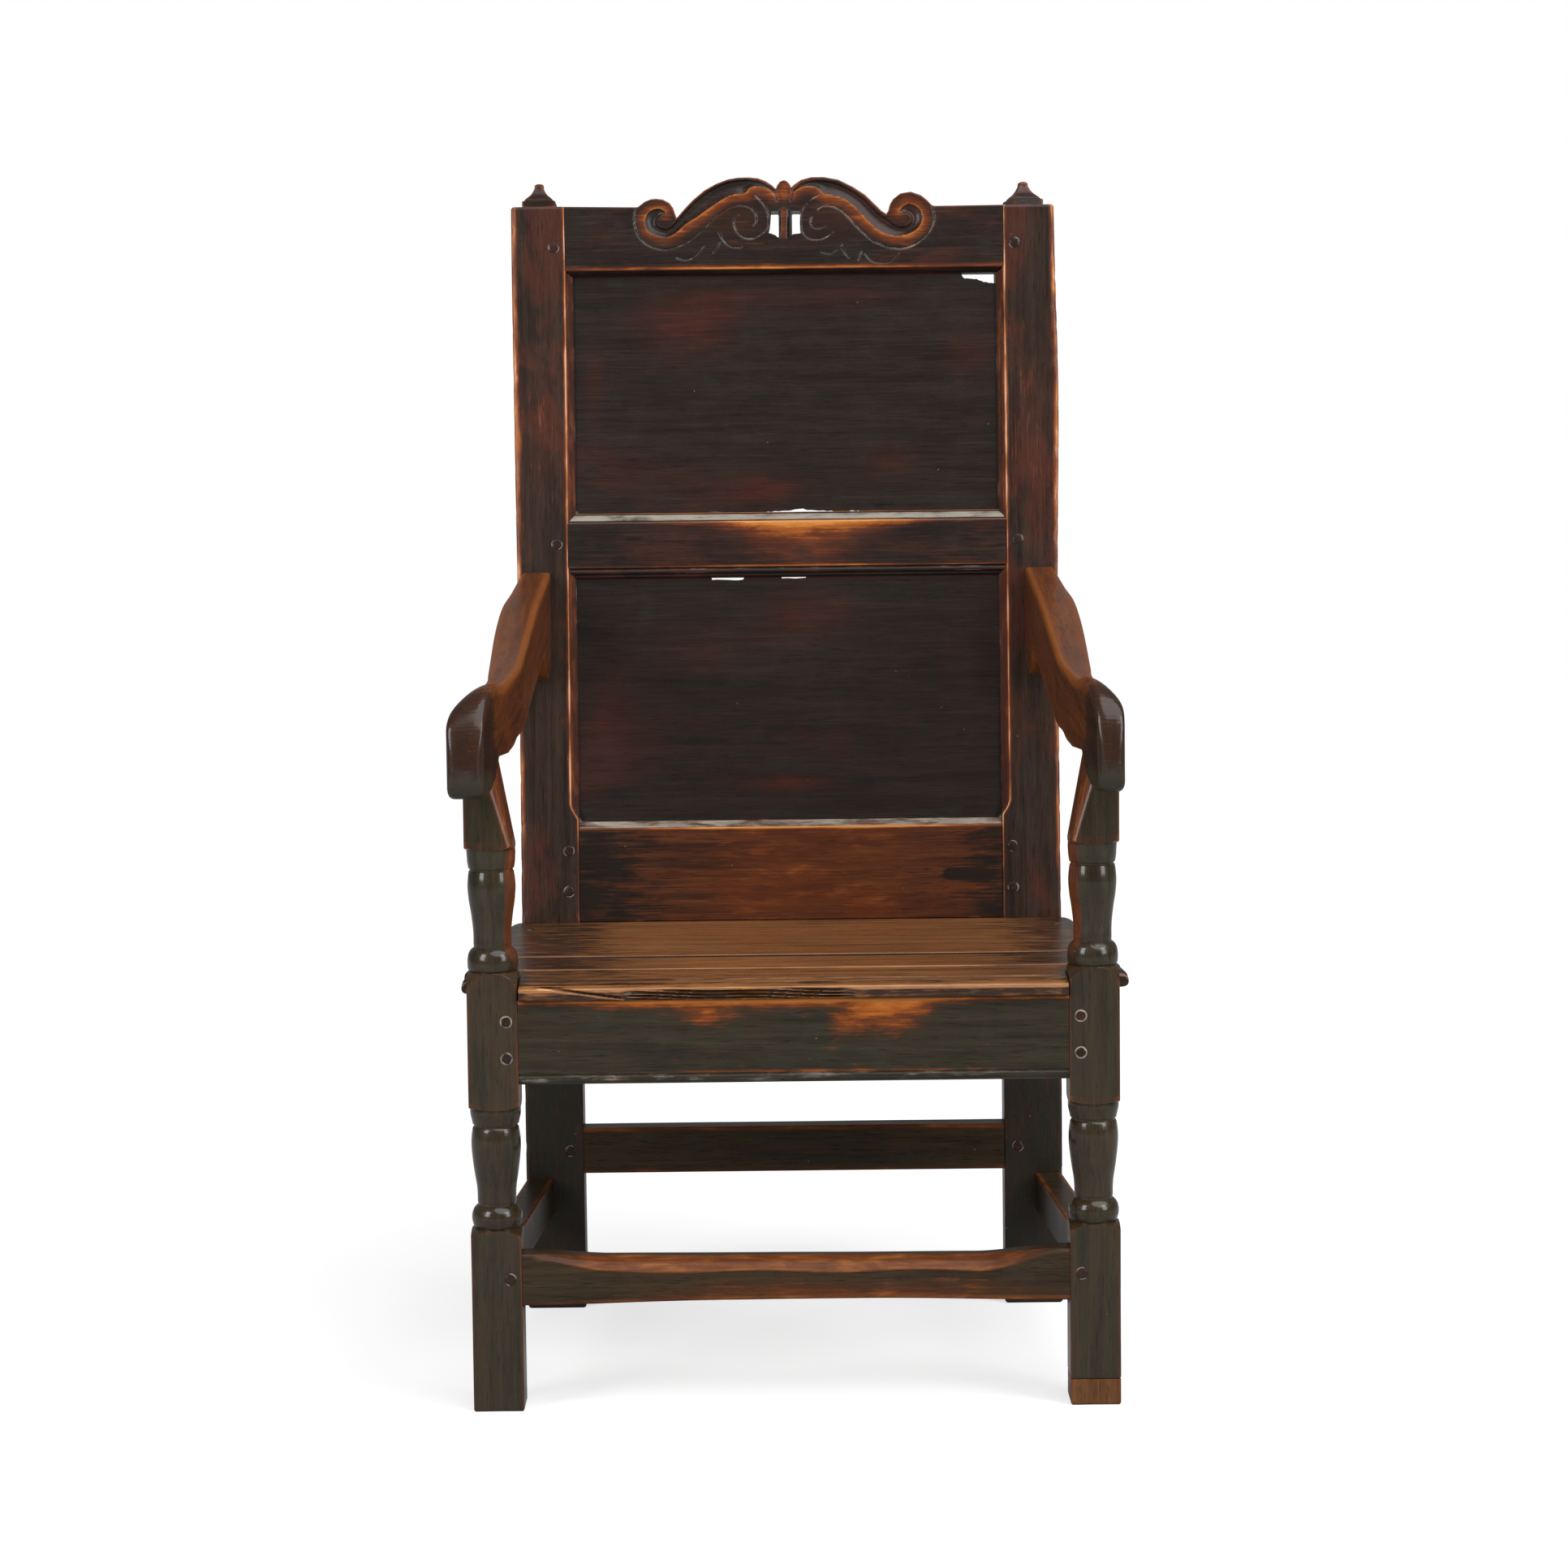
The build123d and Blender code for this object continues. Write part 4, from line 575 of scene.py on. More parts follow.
# the cresting: across from the middle and up from the rail's flat top
crest = {
    "half": 216.6, "bottom": crestLow, "top": postTop, "thick": railThick, "arris": 5.6, "bevel": 6.0,
    "hollow": 3.4, "cut": 1.5, "cutWidth": 1.0, "rounding": 1.6,
    "outline": [
        (-216.6, 2.2), (-148.0, 1.0), (-144.0, 1.0), (-142.5, 2.0), (-137.0, 6.2), (-131.0, 8.6), (-125.5, 9.2),
        (-119.0, 8.3), (-112.5, 4.8), (-108.6, -0.6), (-107.0, -6.2), (-105.6, -9.8), (-104.2, -8.6),
        (-98.0, -1.4), (-90.0, 6.9), (-78.0, 16.8), (-66.0, 23.3), (-55.0, 27.3), (-45.0, 29.0), (-34.0, 29.2),
        (-25.0, 28.2), (-17.0, 25.0), (-11.0, 21.0), (-7.6, 17.6), (-6.0, 21.0), (-3.4, 24.6), (0.6, 26.2),
        (3.8, 24.8), (6.6, 21.6), (7.6, 18.9), (11.0, 21.8), (17.4, 26.0), (27.5, 28.7), (39.8, 28.7),
        (54.1, 26.0), (68.4, 18.9), (80.6, 10.7), (88.8, 2.6), (97.0, -5.6), (101.2, -8.2), (103.0, -5.6),
        (104.6, 0.4), (108.0, 6.2), (115.3, 11.7), (125.5, 13.3), (135.7, 9.7), (141.9, 4.6), (145.5, 0.6),
        (147.0, -0.4), (149.0, -1.0), (216.6, -0.6)],
    "gouges": [
        ([(-7.6, 16.2), (-12.0, 18.6), (-20.0, 23.4), (-30.0, 26.0), (-44.0, 26.2), (-56.0, 24.2), (-70.0, 18.2),
          (-84.0, 8.8), (-96.0, -2.8), (-105.0, -12.4), (-109.5, -17.5), (-115.0, -20.7), (-121.0, -19.6),
          (-125.6, -15.2), (-124.8, -10.8), (-122.4, -8.2), (-116.4, -5.8)],
         [(-8.6, 11.8), (-15.0, 17.4), (-25.0, 20.0), (-33.6, 18.4), (-37.0, 14.2), (-46.0, 13.0), (-56.2, 9.8),
          (-66.2, 3.8), (-76.6, -3.2), (-86.8, -10.4), (-97.0, -16.6), (-107.0, -25.4), (-115.2, -29.0),
          (-125.4, -27.4), (-133.6, -22.8), (-136.8, -14.6), (-134.6, -6.4), (-129.4, -2.0), (-122.4, -0.8),
          (-116.4, -4.0)]),
        ([(9.8, 17.0), (17.4, 22.4), (27.6, 25.0), (40.0, 25.0), (53.0, 22.2), (67.0, 15.2), (79.0, 7.0),
          (88.8, -3.0), (97.0, -10.4), (103.6, -14.4), (108.0, -18.4), (114.0, -21.0), (121.0, -20.6),
          (125.4, -16.8), (125.8, -11.6), (122.4, -8.2), (115.4, -7.0)],
         [(9.8, 14.0), (17.4, 18.8), (25.6, 19.8), (33.8, 17.6), (40.0, 12.2), (48.0, 10.6), (58.4, 7.4),
          (66.4, 2.4), (74.6, -5.6), (82.8, -14.8), (93.0, -24.0), (103.2, -28.8), (113.4, -30.2),
          (123.6, -28.0), (131.8, -23.0), (136.2, -15.2), (135.8, -7.6), (131.8, -2.0), (123.6, 1.2),
          (117.4, -1.4), (113.8, -5.6)])],
    "lines": [
        [(-146.3, -0.8), (-147.5, -8.6), (-146.9, -16.8), (-144.8, -25.0), (-139.8, -32.1), (-133.6, -36.8),
         (-125.4, -39.6), (-116.2, -41.2), (-108.0, -39.6), (-98.8, -36.2), (-88.6, -30.0), (-79.4, -22.0),
         (-72.2, -14.8), (-64.0, -6.6), (-56.0, -1.6), (-47.8, 1.4), (-39.6, 1.6), (-33.6, 0.0), (-29.0, -4.2),
         (-27.0, -9.2), (-27.4, -14.8), (-29.6, -18.2)],
        [(-28.0, 11.4), (-22.4, 5.6), (-17.2, -1.6), (-15.2, -9.6), (-14.8, -16.8), (-17.2, -23.0), (-21.4, -26.6),
         (-28.6, -30.6), (-35.8, -31.2), (-41.8, -28.6), (-47.0, -23.0), (-49.4, -15.8), (-47.8, -10.6),
         (-44.8, -7.6)],
        [(145.9, 0.4), (148.0, -6.6), (148.0, -16.8), (144.0, -26.0), (137.8, -33.2), (129.6, -38.8),
        (119.4, -42.4),
         (109.2, -42.4), (99.0, -39.6), (88.8, -35.2), (78.6, -27.0), (70.4, -18.8), (62.2, -9.6), (55.2, -3.6),
         (48.0, -0.4), (39.8, 0.2), (33.8, -3.0)],
        [(35.8, 11.4), (27.6, 6.6), (21.4, 0.6), (17.4, -6.6), (16.4, -14.8), (17.4, -23.0), (21.4, -29.0),
         (27.6, -32.4), (35.8, -32.8), (43.0, -30.0), (48.0, -26.0)],
        [(27.6, -10.6), (26.2, -14.8), (28.6, -19.8), (34.8, -21.4), (40.8, -20.0)],
        [(-106.0, -49.4), (-94.8, -51.6), (-85.6, -46.4), (-79.6, -38.8)],
        [(-69.4, -44.4), (-65.2, -39.2), (-63.6, -34.8)],
        [(-63.8, -24.6), (-60.2, -32.2), (-53.0, -38.2), (-41.8, -39.6)],
        [(36.8, -44.8), (46.0, -46.4), (53.2, -42.4), (57.2, -37.6)],
        [(57.2, -40.4), (59.8, -46.4), (64.0, -51.2)],
        [(73.6, -53.2), (76.2, -45.0)],
        [(79.6, -47.4), (85.8, -54.0), (95.0, -56.6), (105.2, -54.6), (113.4, -47.4)],
        [(-3.6, -2.4), (-3.4, -18.0), (-3.8, -30.4)],
        [(3.8, -2.4), (3.6, -18.0), (3.4, -30.4)]],
    "lights": [
        [(-12.4, -4.6), (-3.6, -4.4), (-3.6, -28.8), (-5.0, -31.6), (-8.4, -28.2), (-13.6, -26.2), (-15.6, -26.4),
         (-13.6, -18.0), (-12.6, -10.0)],
        [(3.8, -4.4), (16.6, -4.4), (16.0, -12.0), (16.2, -20.0), (17.0, -26.6), (9.2, -27.4), (5.8, -29.8),
         (3.8, -31.4)]],
}


def carve(flat):
    # how deep the front is cut at flat places, how worn and how dusty it is there, and where it is pierced
    outline = np.array(crest["outline"])
    depth, dustAndSheen, wearAndPaintedLight = np.zeros(len(flat)), np.zeros(len(flat)), np.zeros(len(flat))
    for outer, inner in crest["gouges"]:
        outer, inner = curve(outer), curve(inner)
        held = inside(flat, np.vstack((outer, inner[::-1])))
        fromOuter, fromInner = distanceTo(flat, outer), distanceTo(flat, inner)
        t = fromOuter / (fromOuter + fromInner + 1e-6)
        bowl = np.sin(np.pi * np.clip(t, 0, 1) ** 0.62) ** 0.8
        depth = np.maximum(depth, held * bowl * np.minimum(crest["hollow"], 0.42 * (fromOuter + fromInner)))
        dustAndSheen = np.maximum(dustAndSheen, held * (0.30 * np.exp(-fromInner / 1.3) + 0.30 * np.exp(-fromOuter / 1.0)))
        rubbed = 0.56 * np.exp(-(fromInner / 8.0) ** 2) + 0.3 * np.exp(-(fromInner / 1.4) ** 2)
        wearAndPaintedLight = np.maximum(wearAndPaintedLight, ~held * rubbed)
        wearAndPaintedLight = np.where(held, -0.7, wearAndPaintedLight)
    for line in crest["lines"]:
        away = distanceTo(flat, curve(line) if len(line) > 3 else np.array(line, float))
        depth = np.maximum(depth, crest["cut"] * np.clip(1 - away / crest["cutWidth"], 0, 1))
        dustAndSheen = np.maximum(dustAndSheen, 0.72 * np.exp(-(away / 0.75) ** 2))
    pierced = np.zeros(len(flat), bool)
    for light in crest["lights"]:
        ring = np.array(light)
        held = inside(flat, ring)
        away = distanceTo(flat, np.vstack((ring, ring[:1])))
        pierced |= held
        dustAndSheen = np.maximum(dustAndSheen, 0.7 * np.exp(-away / 0.8) * ~held)
    edge = distanceTo(flat, outline)
    depth = np.maximum(depth, np.clip(crest["rounding"] - edge, 0, None) ** 2 * 0.5)
    wearAndPaintedLight = np.maximum(wearAndPaintedLight, np.where(np.abs(flat[:, 0]) < 150, 0.75, 0.45) * np.exp(-(edge / 1.3) ** 2))
    bud = np.exp(-(np.hypot((flat[:, 0] - 0.8) / 7.0, (flat[:, 1] - 15) / 10.0)) ** 4)
    wearAndPaintedLight = np.maximum(wearAndPaintedLight, 0.55 * bud)
    for x, lean in ((-7.2, 1.0), (8.6, -1.0)):  # grooves either side of the bud
        away = distanceTo(flat, np.array([(x, 18.0), (x - 0.6 * lean, 12.0), (x + 1.2 * lean, 6.0)]))
        depth = np.maximum(depth, 1.8 * np.clip(1 - away / 1.6, 0, 1))
    fromArris = flat[:, 1] + crest["top"] - crest["bottom"] - crest["arris"]
    centre = np.exp(-((flat[:, 0] + 10) / 150.0) ** 2)
    wearAndPaintedLight = np.maximum(wearAndPaintedLight, (0.5 + 0.45 * centre) * np.exp(-(fromArris / 2.6) ** 2)
                      + 0.2 * centre * np.exp(-fromArris / 9))
    wearAndPaintedLight = wearAndPaintedLight + 0.05 * ((np.abs(flat[:, 0]) < 147) & (flat[:, 1] > -42))
    stem = smooth(-34, -30, flat[:, 1]) * smooth(2, -3, flat[:, 1])  # between the lights
    wearAndPaintedLight = wearAndPaintedLight + 0.4 * np.exp(-(flat[:, 0] / 3.0) ** 2) * stem
    wearAndPaintedLight = wearAndPaintedLight + 0.16 * np.exp(-((np.abs(flat[:, 0]) - 45) / 42) ** 2 - ((flat[:, 1] + 14) / 22) ** 2)
    return depth, wearAndPaintedLight, dustAndSheen, pierced


def makeCrest():
    size = crest
    outline = np.array(size["outline"])
    columns = np.unique(np.round(np.concatenate((
        np.linspace(-size["half"], -152.5, 20), np.linspace(-151.6, 151.6, 380), np.linspace(152.5, size["half"], 20),
        np.linspace(-108.5, -103.5, 14), np.linspace(99.5, 105.5, 14))), 3))
    foot = size["bottom"] + size["arris"] - size["top"]
    low = np.linspace(foot, -12.5, 48)
    rise = 1 - (1 - np.linspace(0, 1, 45)[1:]) ** 1.25
    topOf = np.interp(columns, outline[:, 0], outline[:, 1])
    up = np.hstack((np.broadcast_to(low, (len(columns), len(low))), -12.5 + (topOf[:, None] + 12.5) * rise))
    across = np.broadcast_to(columns[:, None], up.shape)
    flat = np.column_stack((across.ravel(), up.ravel()))
    depth, wearAndPaintedLight, dustAndSheen, pierced = carve(flat)
    # the edge of each light keeps to its drawn line
    grid = pierced.reshape(up.shape)
    rimOf = grid & ~(np.roll(grid, 1, 0) & np.roll(grid, -1, 0) & np.roll(grid, 1, 1) & np.roll(grid, -1, 1)
                     & np.roll(np.roll(grid, 1, 0), 1, 1) & np.roll(np.roll(grid, -1, 0), -1, 1)
                     & np.roll(np.roll(grid, 1, 0), -1, 1) & np.roll(np.roll(grid, -1, 0), 1, 1))
    for light in size["lights"]:
        ring = np.vstack((light, light[:1]))
        dense = np.concatenate([a + (b - a) * np.linspace(0, 1, 60)[:, None] for a, b in zip(ring[:-1], ring[1:])])
        for i in np.flatnonzero(rimOf.ravel()):
            gap = np.linalg.norm(dense - flat[i], axis=1)
            if gap.min() < 1.6:
                flat[i] = dense[gap.argmin()]
    bm = bmesh.new()
    bmesh.ops.create_grid(bm, x_segments=len(columns) - 1, y_segments=up.shape[1] - 1, size=0.5)
    wearAndPaintedLightLayer = bm.verts.layers.float.new("wearAndPaintedLight")
    dustAndSheenLayer = bm.verts.layers.float.new("dustAndSheen")
    depth = depth + 0.12 + 0.12 * ripple(np.column_stack((flat, 0 * depth)), 14.0, 2.0)
    places = raked(flat[:, 0], size["top"] + flat[:, 1], depth)
    ordered = sorted(bm.verts, key=lambda v: (round(v.co.x, 6), round(v.co.y, 6)))
    hollow = set()
    for i, v in enumerate(ordered):
        v.co = places[i] * mm
        v[wearAndPaintedLightLayer], v[dustAndSheenLayer] = float(wearAndPaintedLight[i]), float(dustAndSheen[i])
        if pierced[i]:
            hollow.add(v)
    gone = [f for f in bm.faces if all(v in hollow for v in f.verts)]
    bmesh.ops.delete(bm, geom=gone, context="FACES")
    # the back is a copy of the front, and the front's rim is carried back to it, round the lights too
    rim = [e for e in bm.edges if e.is_boundary]
    copied = bmesh.ops.duplicate(bm, geom=bm.verts[:] + bm.edges[:] + bm.faces[:])["geom"]
    backVerts = {g for g in copied if isinstance(g, bmesh.types.BMVert)}
    backwards = Vector(raked(0, 0, size["thick"]) - raked(0, 0, 0)) * mm
    for share in (0.05, 0.17, 0.78):
        out = bmesh.ops.extrude_edge_only(bm, edges=rim)["geom"]
        moved = [g for g in out if isinstance(g, bmesh.types.BMVert)]
        bmesh.ops.translate(bm, vec=backwards * share, verts=moved)
        rim = [g for g in out if isinstance(g, bmesh.types.BMEdge) and g.is_boundary]
    # flatten the back, scribe the ends over the chamfers and turn the lower edge in
    into = Vector((0, math.cos(rake), -math.sin(rake)))
    upward = Vector((0, math.sin(rake), math.cos(rake)))
    origin = Vector(raked(0, 0, 0)) * mm
    last = {v for e in rim for v in e.verts} | backVerts
    for v in bm.verts:
        d, s = (v.co - origin).dot(into) / mm, (v.co - origin).dot(upward) / mm
        if v in last:
            v.co += into * (size["thick"] - d) * mm
            v[wearAndPaintedLightLayer], v[dustAndSheenLayer] = 0.2, 0.0
            d = size["thick"]
        across, up = v.co.x / mm, s - size["top"]
        if d > 1 and abs(across) < 14:  # the stem between the lights spreads towards the back
            spread = (4.5 if across > 0 else -1.5) * (min(d, size["thick"]) / size["thick"]) ** 0.5
            spread *= min(1.0, abs(across) / 3.8) * min(1.0, (14 - abs(across)) / 10.2)
            v.co.x += spread * float(smooth(1, -4, up) * smooth(-39, -33, up)) * mm
        if abs(v.co.x) > 216.5 * mm:
            v.co.x = math.copysign(size["half"] - min(8.2, max(0.0, d)), v.co.x) * mm
        if s < size["bottom"] + size["arris"] + 0.1:
            # behind the front arris the lower edge is painted dark: painted shade under the rail
            if d > 1.0:
                v[wearAndPaintedLightLayer] = -0.3
            arris = size["bottom"] + size["arris"] * (1 - min(1.0, max(0.0, d) / size["bevel"]))
            v.co += upward * (arris - s) * mm
    # in the mesh's own order, because a set has another one on each run
    bmesh.ops.remove_doubles(bm, verts=[v for v in bm.verts if v in last], dist=0.003 * mm)
    return bm


finishPiece(makeCrest(), "carved_crest_rail", ["crest_rail"], railOak, sharp=50.0)
print("crest rail")

seatRail = {"half": 245.0, "low": 295.3, "high": 371.5, "set": 1.0}


def upright(x, z, depth):
    # a place on the front rails, behind the legs' front faces
    return np.stack(np.broadcast_arrays(x, frontY + seatRail["set"] + depth, z), axis=-1).astype(float)


def seatRailLook(x, near, away, pts):
    face = (pts[:, 0] < 0.6) & (near < 3)
    down = seatRail["high"] - pts[:, 1]
    wearAndPaintedLight = 1.15 * math.exp(-((x + 18) / 175.0) ** 6) * np.exp(-(down / 8) ** 2)
    lean = x - 86 + 0.5 * down
    wearAndPaintedLight = np.maximum(wearAndPaintedLight, 1.0 * np.exp(-(lean / 44.0) ** 4) * np.exp(-(down / 30) ** 2))
    wearAndPaintedLight = np.maximum(wearAndPaintedLight, 0.62 * math.exp(-((x + 78) / 34.0) ** 2) * np.exp(-((down - 8) / 15) ** 2))
    wearAndPaintedLight = face * wearAndPaintedLight + 0.7 * (near == 1) * np.exp(-(away / 1.8) ** 2)
    wearAndPaintedLight = np.maximum(wearAndPaintedLight, 0.55 * (near == 2) * np.exp(-(away / 1.6) ** 2) * math.exp(-((x - 20) / 150.0) ** 6))
    dustAndSheen = 0.42 * np.isin(near, (3, 4, 5, 6))
    return wearAndPaintedLight, dustAndSheen


low, high = seatRail["low"], seatRail["high"]
frontCorners = [(railThick, high, 1.0), (0.0, high, 1.6), (0.0, 305.5, 0.6), (1.6, 304.8, 0.3), (1.7, 303.4, 0.3),
                (0.8, 302.0, 1.4), (2.2, 298.0, 2.5), (7.0, low, 1.2), (railThick, low, 1.0)]
bm = railAcross(frontCorners, [5, 16, 1, 1, 1, 2, 2, 4, 6], seatRail["half"], upright, seatRailLook)
finishPiece(bm, "front_seat_rail_board", ["front_seat_rail"], frontRailOak)

stretcher = {"half": 245.0, "low": 97.5, "high": 143.0, "thick": 27.0, "worn": 11.5, "wornBack": 13.0}


def makeFrontStretcher():
    size = stretcher
    rings, wearAndPaintedLightRows, dustAndSheenRows = [], [], []
    for x in stations(-size["half"], size["half"], 4.0, (-size["half"], size["half"])):
        scoop = float(smooth(-size["half"] + 2, -165, x) * smooth(size["half"] - 2, 160, x))
        lift = 4.5 * float(smooth(-size["half"], -60, x) * smooth(size["half"], 60, x))
        frontDrop = 4 + (size["worn"] - 4) * scoop + 1.2 * math.sin(x / 23.0) * scoop
        backCut = 2.5 + (size["wornBack"] - 2.5) * scoop + 0.8 * math.sin(x / 31.0 + 1)
        high = size["high"] - (5.8 + 0.006 * x) * scoop
        corners = [(size["thick"], high, 1.5), (backCut, high, 3.0),
                   (0.42 * backCut, high - 0.4 * frontDrop, 3.0), (0.0, high - frontDrop, 2.2),
                   (0.0, size["low"] - 1.5 + 0.75 * lift, 2.2),
                   (size["thick"], size["low"] - 1.0 + 0.4 * lift, 1.0)]
        pts, near, away = section(corners, [4, 5, 5, 9, 6, 6])
        ring = upright(np.full(len(pts), x), pts[:, 1], pts[:, 0])
        ring = ring + 0.25 * ripple(ring, 40.0, 4.0)[:, None] * np.array([0, 0.7, 0.6])
        rings.append(ring)
        trodden = (pts[:, 0] < backCut + 2) & (pts[:, 1] > high - frontDrop - 1)
        below = np.exp(-((pts[:, 1] - size["low"] - 9) / 12) ** 2) * (pts[:, 0] < 1)
        below = below * math.exp(-((x - 40) / 190.0) ** 4)
        elsewhere = 0.36 * below + 0.3 * (near == 4) * np.exp(-(away / 2) ** 2)
        wearAndPaintedLightRows.append(trodden * (0.2 + 0.36 * scoop) + ~trodden * elsewhere)
        dustAndSheenRows.append(0.1 * (near == 3) * np.exp(-away / 3))
    return tube(rings, wearAndPaintedLightRows, dustAndSheenRows)


finishPiece(makeFrontStretcher(), "worn_front_stretcher", ["front_stretcher"], stretcherOak)


def plainBar(start, end, thick, low, high, step=6.0):
    # a plain bar between two places in plan, its arrises softened by use
    start, end = np.array(start, float), np.array(end, float)
    run = (end - start) / np.linalg.norm(end - start)
    across = np.array([run[1], -run[0]])
    pts, near, away = section([(-thick / 2, low, 1.2), (thick / 2, low, 1.2), (thick / 2, high, 1.6),
                               (-thick / 2, high, 1.6)], [6, 8, 6, 8])
    rings, wearAndPaintedLightRows, dustAndSheenRows = [], [], []
    for s in stations(0, float(np.linalg.norm(end - start)), step, (0,)):
        plan = start + run * s + across * pts[:, :1]
        ring = np.column_stack((plan, pts[:, 1]))
        rings.append(ring + 0.15 * ripple(ring, 50.0, low)[:, None] * np.array([0.7, 0.7, 0.3]))
        wearAndPaintedLightRows.append(np.where(near > 1, 0.55, 0.35) * np.exp(-(away / 3.0) ** 2))
        dustAndSheenRows.append(0.12 * np.exp(-away / 2))
    return tube(rings, wearAndPaintedLightRows, dustAndSheenRows)


legBackY = frontY + 45.5
sideFrontX, sideBackX = 276.5, 252.0  # middles of the side rails at the legs and at the posts
for side, word in sides:
    ends = ((side * sideFrontX, legBackY), (side * sideBackX, backY))
    bm = plainBar(*ends, 26.0, seatRail["low"], seatRail["high"])
    finishPiece(bm, word + "_side_seat_rail", ["side_seat_rail_" + word], legOak)
    finishPiece(plainBar(*ends, 26.0, 95.0, 131.0), word + "_side_stretcher", ["side_stretcher_" + word],
                stretcherOak)
bm = plainBar((-backOpening, backY + 14), (backOpening, backY + 14), railThick, seatRail["low"], 386.6)
finishPiece(bm, "rear_seat_rail_board", ["rear_seat_rail"], railOak)
bm = plainBar((-backOpening, backY + 14.5), (backOpening, backY + 14.5), stretcher["thick"], 135.5, 181.0)
finishPiece(bm, "rear_stretcher_bar", ["rear_stretcher"], stretcherOak)
print("rails and stretchers under the seat")

# front legs: squares at the joints and turned lengths between them, (height, radius) from the foot up
leg = {
    "centre": 267.75, "half": 22.75, "arris": 1.8, "top": 589.0, "taperFrom": 499.0, "topWidth": 28.5,
    "chamfer": (3.0, 10.0), "outerChamfer": 7.0, "foot": {1: 23.6, -1: 0.0},  # the right one is pieced
    # the squares: foot, foot and top of the arch, and the low middle of the arc under the square
    "blocks": [(0.0, 156.0, 164.0, None), (278.5, 379.0, 396.0, 273.0), (512.0, 589.0, 589.0, 506.0)],
    "turnings": [
        [(164.0, 22.7), (164.6, 20.8), (166.5, 21.4), (173.0, 22.8), (178.0, 22.3), (182.0, 20.6), (184.8, 18.0),
         (185.0, 17.2), (187.2, 17.1), (187.6, 17.5), (194.0, 17.5), (203.0, 18.1), (211.0, 19.4), (221.0, 20.8),
         (231.0, 21.9), (240.0, 22.4), (247.0, 22.1), (252.0, 21.4), (255.6, 20.5), (256.4, 19.7), (258.0, 19.7),
         (258.6, 20.9), (262.0, 21.6), (266.0, 22.5), (270.0, 23.0), (273.0, 22.7)],
        [(396.0, 22.7), (396.6, 21.4), (398.0, 22.3), (402.5, 22.9), (407.0, 22.8), (412.0, 21.8), (415.5, 19.8),
         (417.0, 18.0), (417.2, 17.1), (420.0, 17.0), (420.4, 17.2), (426.0, 17.1), (433.0, 17.3), (439.0, 17.8),
         (445.0, 18.5), (451.0, 19.3), (457.0, 20.3), (464.0, 21.1), (472.5, 21.6), (478.0, 21.3), (483.0, 20.7),
         (486.0, 20.2), (486.6, 19.5), (488.4, 19.5), (489.0, 20.6), (494.0, 21.4), (500.0, 21.8), (506.0, 22.2)]],
}
faceTurns = [-45, -44.3, -43.2, -41, -36.5, -32, -27, -22, -17, -12, -7, -2.5, 2.5, 7, 12, 17, 22, 27, 32, 36.5, 41,
             43.2, 44.3]
legTurns = np.radians([turn + 90 * quarter for quarter in range(4) for turn in faceTurns])


def squareRadius(turn, half, arris):
    # from the middle to the outline of a square with rounded corners
    c, s = np.abs(np.cos(turn)), np.abs(np.sin(turn))
    k = half - arris
    along = k * (c + s)
    rounded = along + np.sqrt(np.maximum(along**2 - 2 * k * k + arris**2, 0))
    atCorner = (rounded * c > k) & (rounded * s > k)
    return np.where(atCorner, rounded, half / np.maximum(c, s))


def legRows(foot, legTop):
    # rows of heights and radii round the leg, each with its wear and dust
    size, a = leg, leg["half"]
    square = squareRadius(legTurns, a, size["arris"])
    slope = np.abs(np.tan(legTurns))
    slope = np.minimum(slope, 1 / np.maximum(slope, 1e-6))
    crease = np.sqrt(np.clip(1 - slope**2, 0, 1))  # how far up an arch the flat of a face reaches
    whole = np.ones(len(legTurns))
    rows = []
    for n, (low, arch, top, arcLow) in enumerate(size["blocks"]):
        if arcLow is not None:
            edge = arcLow + (1 - crease) * (low - arcLow)
            for f in (0.0, 0.3, 0.65, 1.0):
                z = arcLow + (edge - arcLow) * f + 0.03 * f
                t = (low - z) / (low - arcLow)
                rows.append((z, np.minimum(square, a * np.sqrt(np.clip(2 - t**2, 1, 2))), 0.3, 0.25))
            for f in (0.12, 0.4, 0.7):
                rows.append((edge + (low + 3 - edge) * f, square, 0.2, 0.0))
            low = low + 3
        if top < size["top"]:
            for z in stations(max(low, foot), arch - 3, 5.0, (foot,)):
                rows.append((whole * z, square, 0.0, 0.0))
            for f in (0.35, 0.7, 0.9, 1.0):
                rows.append((arch - 3 + (3 + crease * (top - arch)) * f, square, 0.2 * f, 0.0))
            for f in (0.12, 0.4, 0.7, 1.0):
                z = arch + (top - arch) * (crease + (1 - crease) * f) + 0.05 * f
                t = np.clip((z - arch) / (top - arch), 0, 1)
                rows.append((z, np.minimum(square, a * np.sqrt(2 - t**2)), 0.2, 0.15))
            turning = size["turnings"][n]
            corners = [i for i in range(1, len(turning) - 1)
                       if abs(turning[i + 1][0] - turning[i][0]) < 0.7 or abs(turning[i][0] - turning[i - 1][0]) < 0.7]
            for z, r in curve(turning, corners, 1.6)[1:]:
                groove = 0.3 * (r < 17.3) + 0.3 * (abs(r - 19.6) < 0.12)
                rows.append((whole * (z + 0.1), whole * r, 0.1 * float(smooth(21.6, 23.0, r)) - 0.3, groove))
        else:
            for z in stations(low, legTop, 5.0, (legTop,)):
                rows.append((whole * z, square, 0.0, 0.0))
    return rows, square


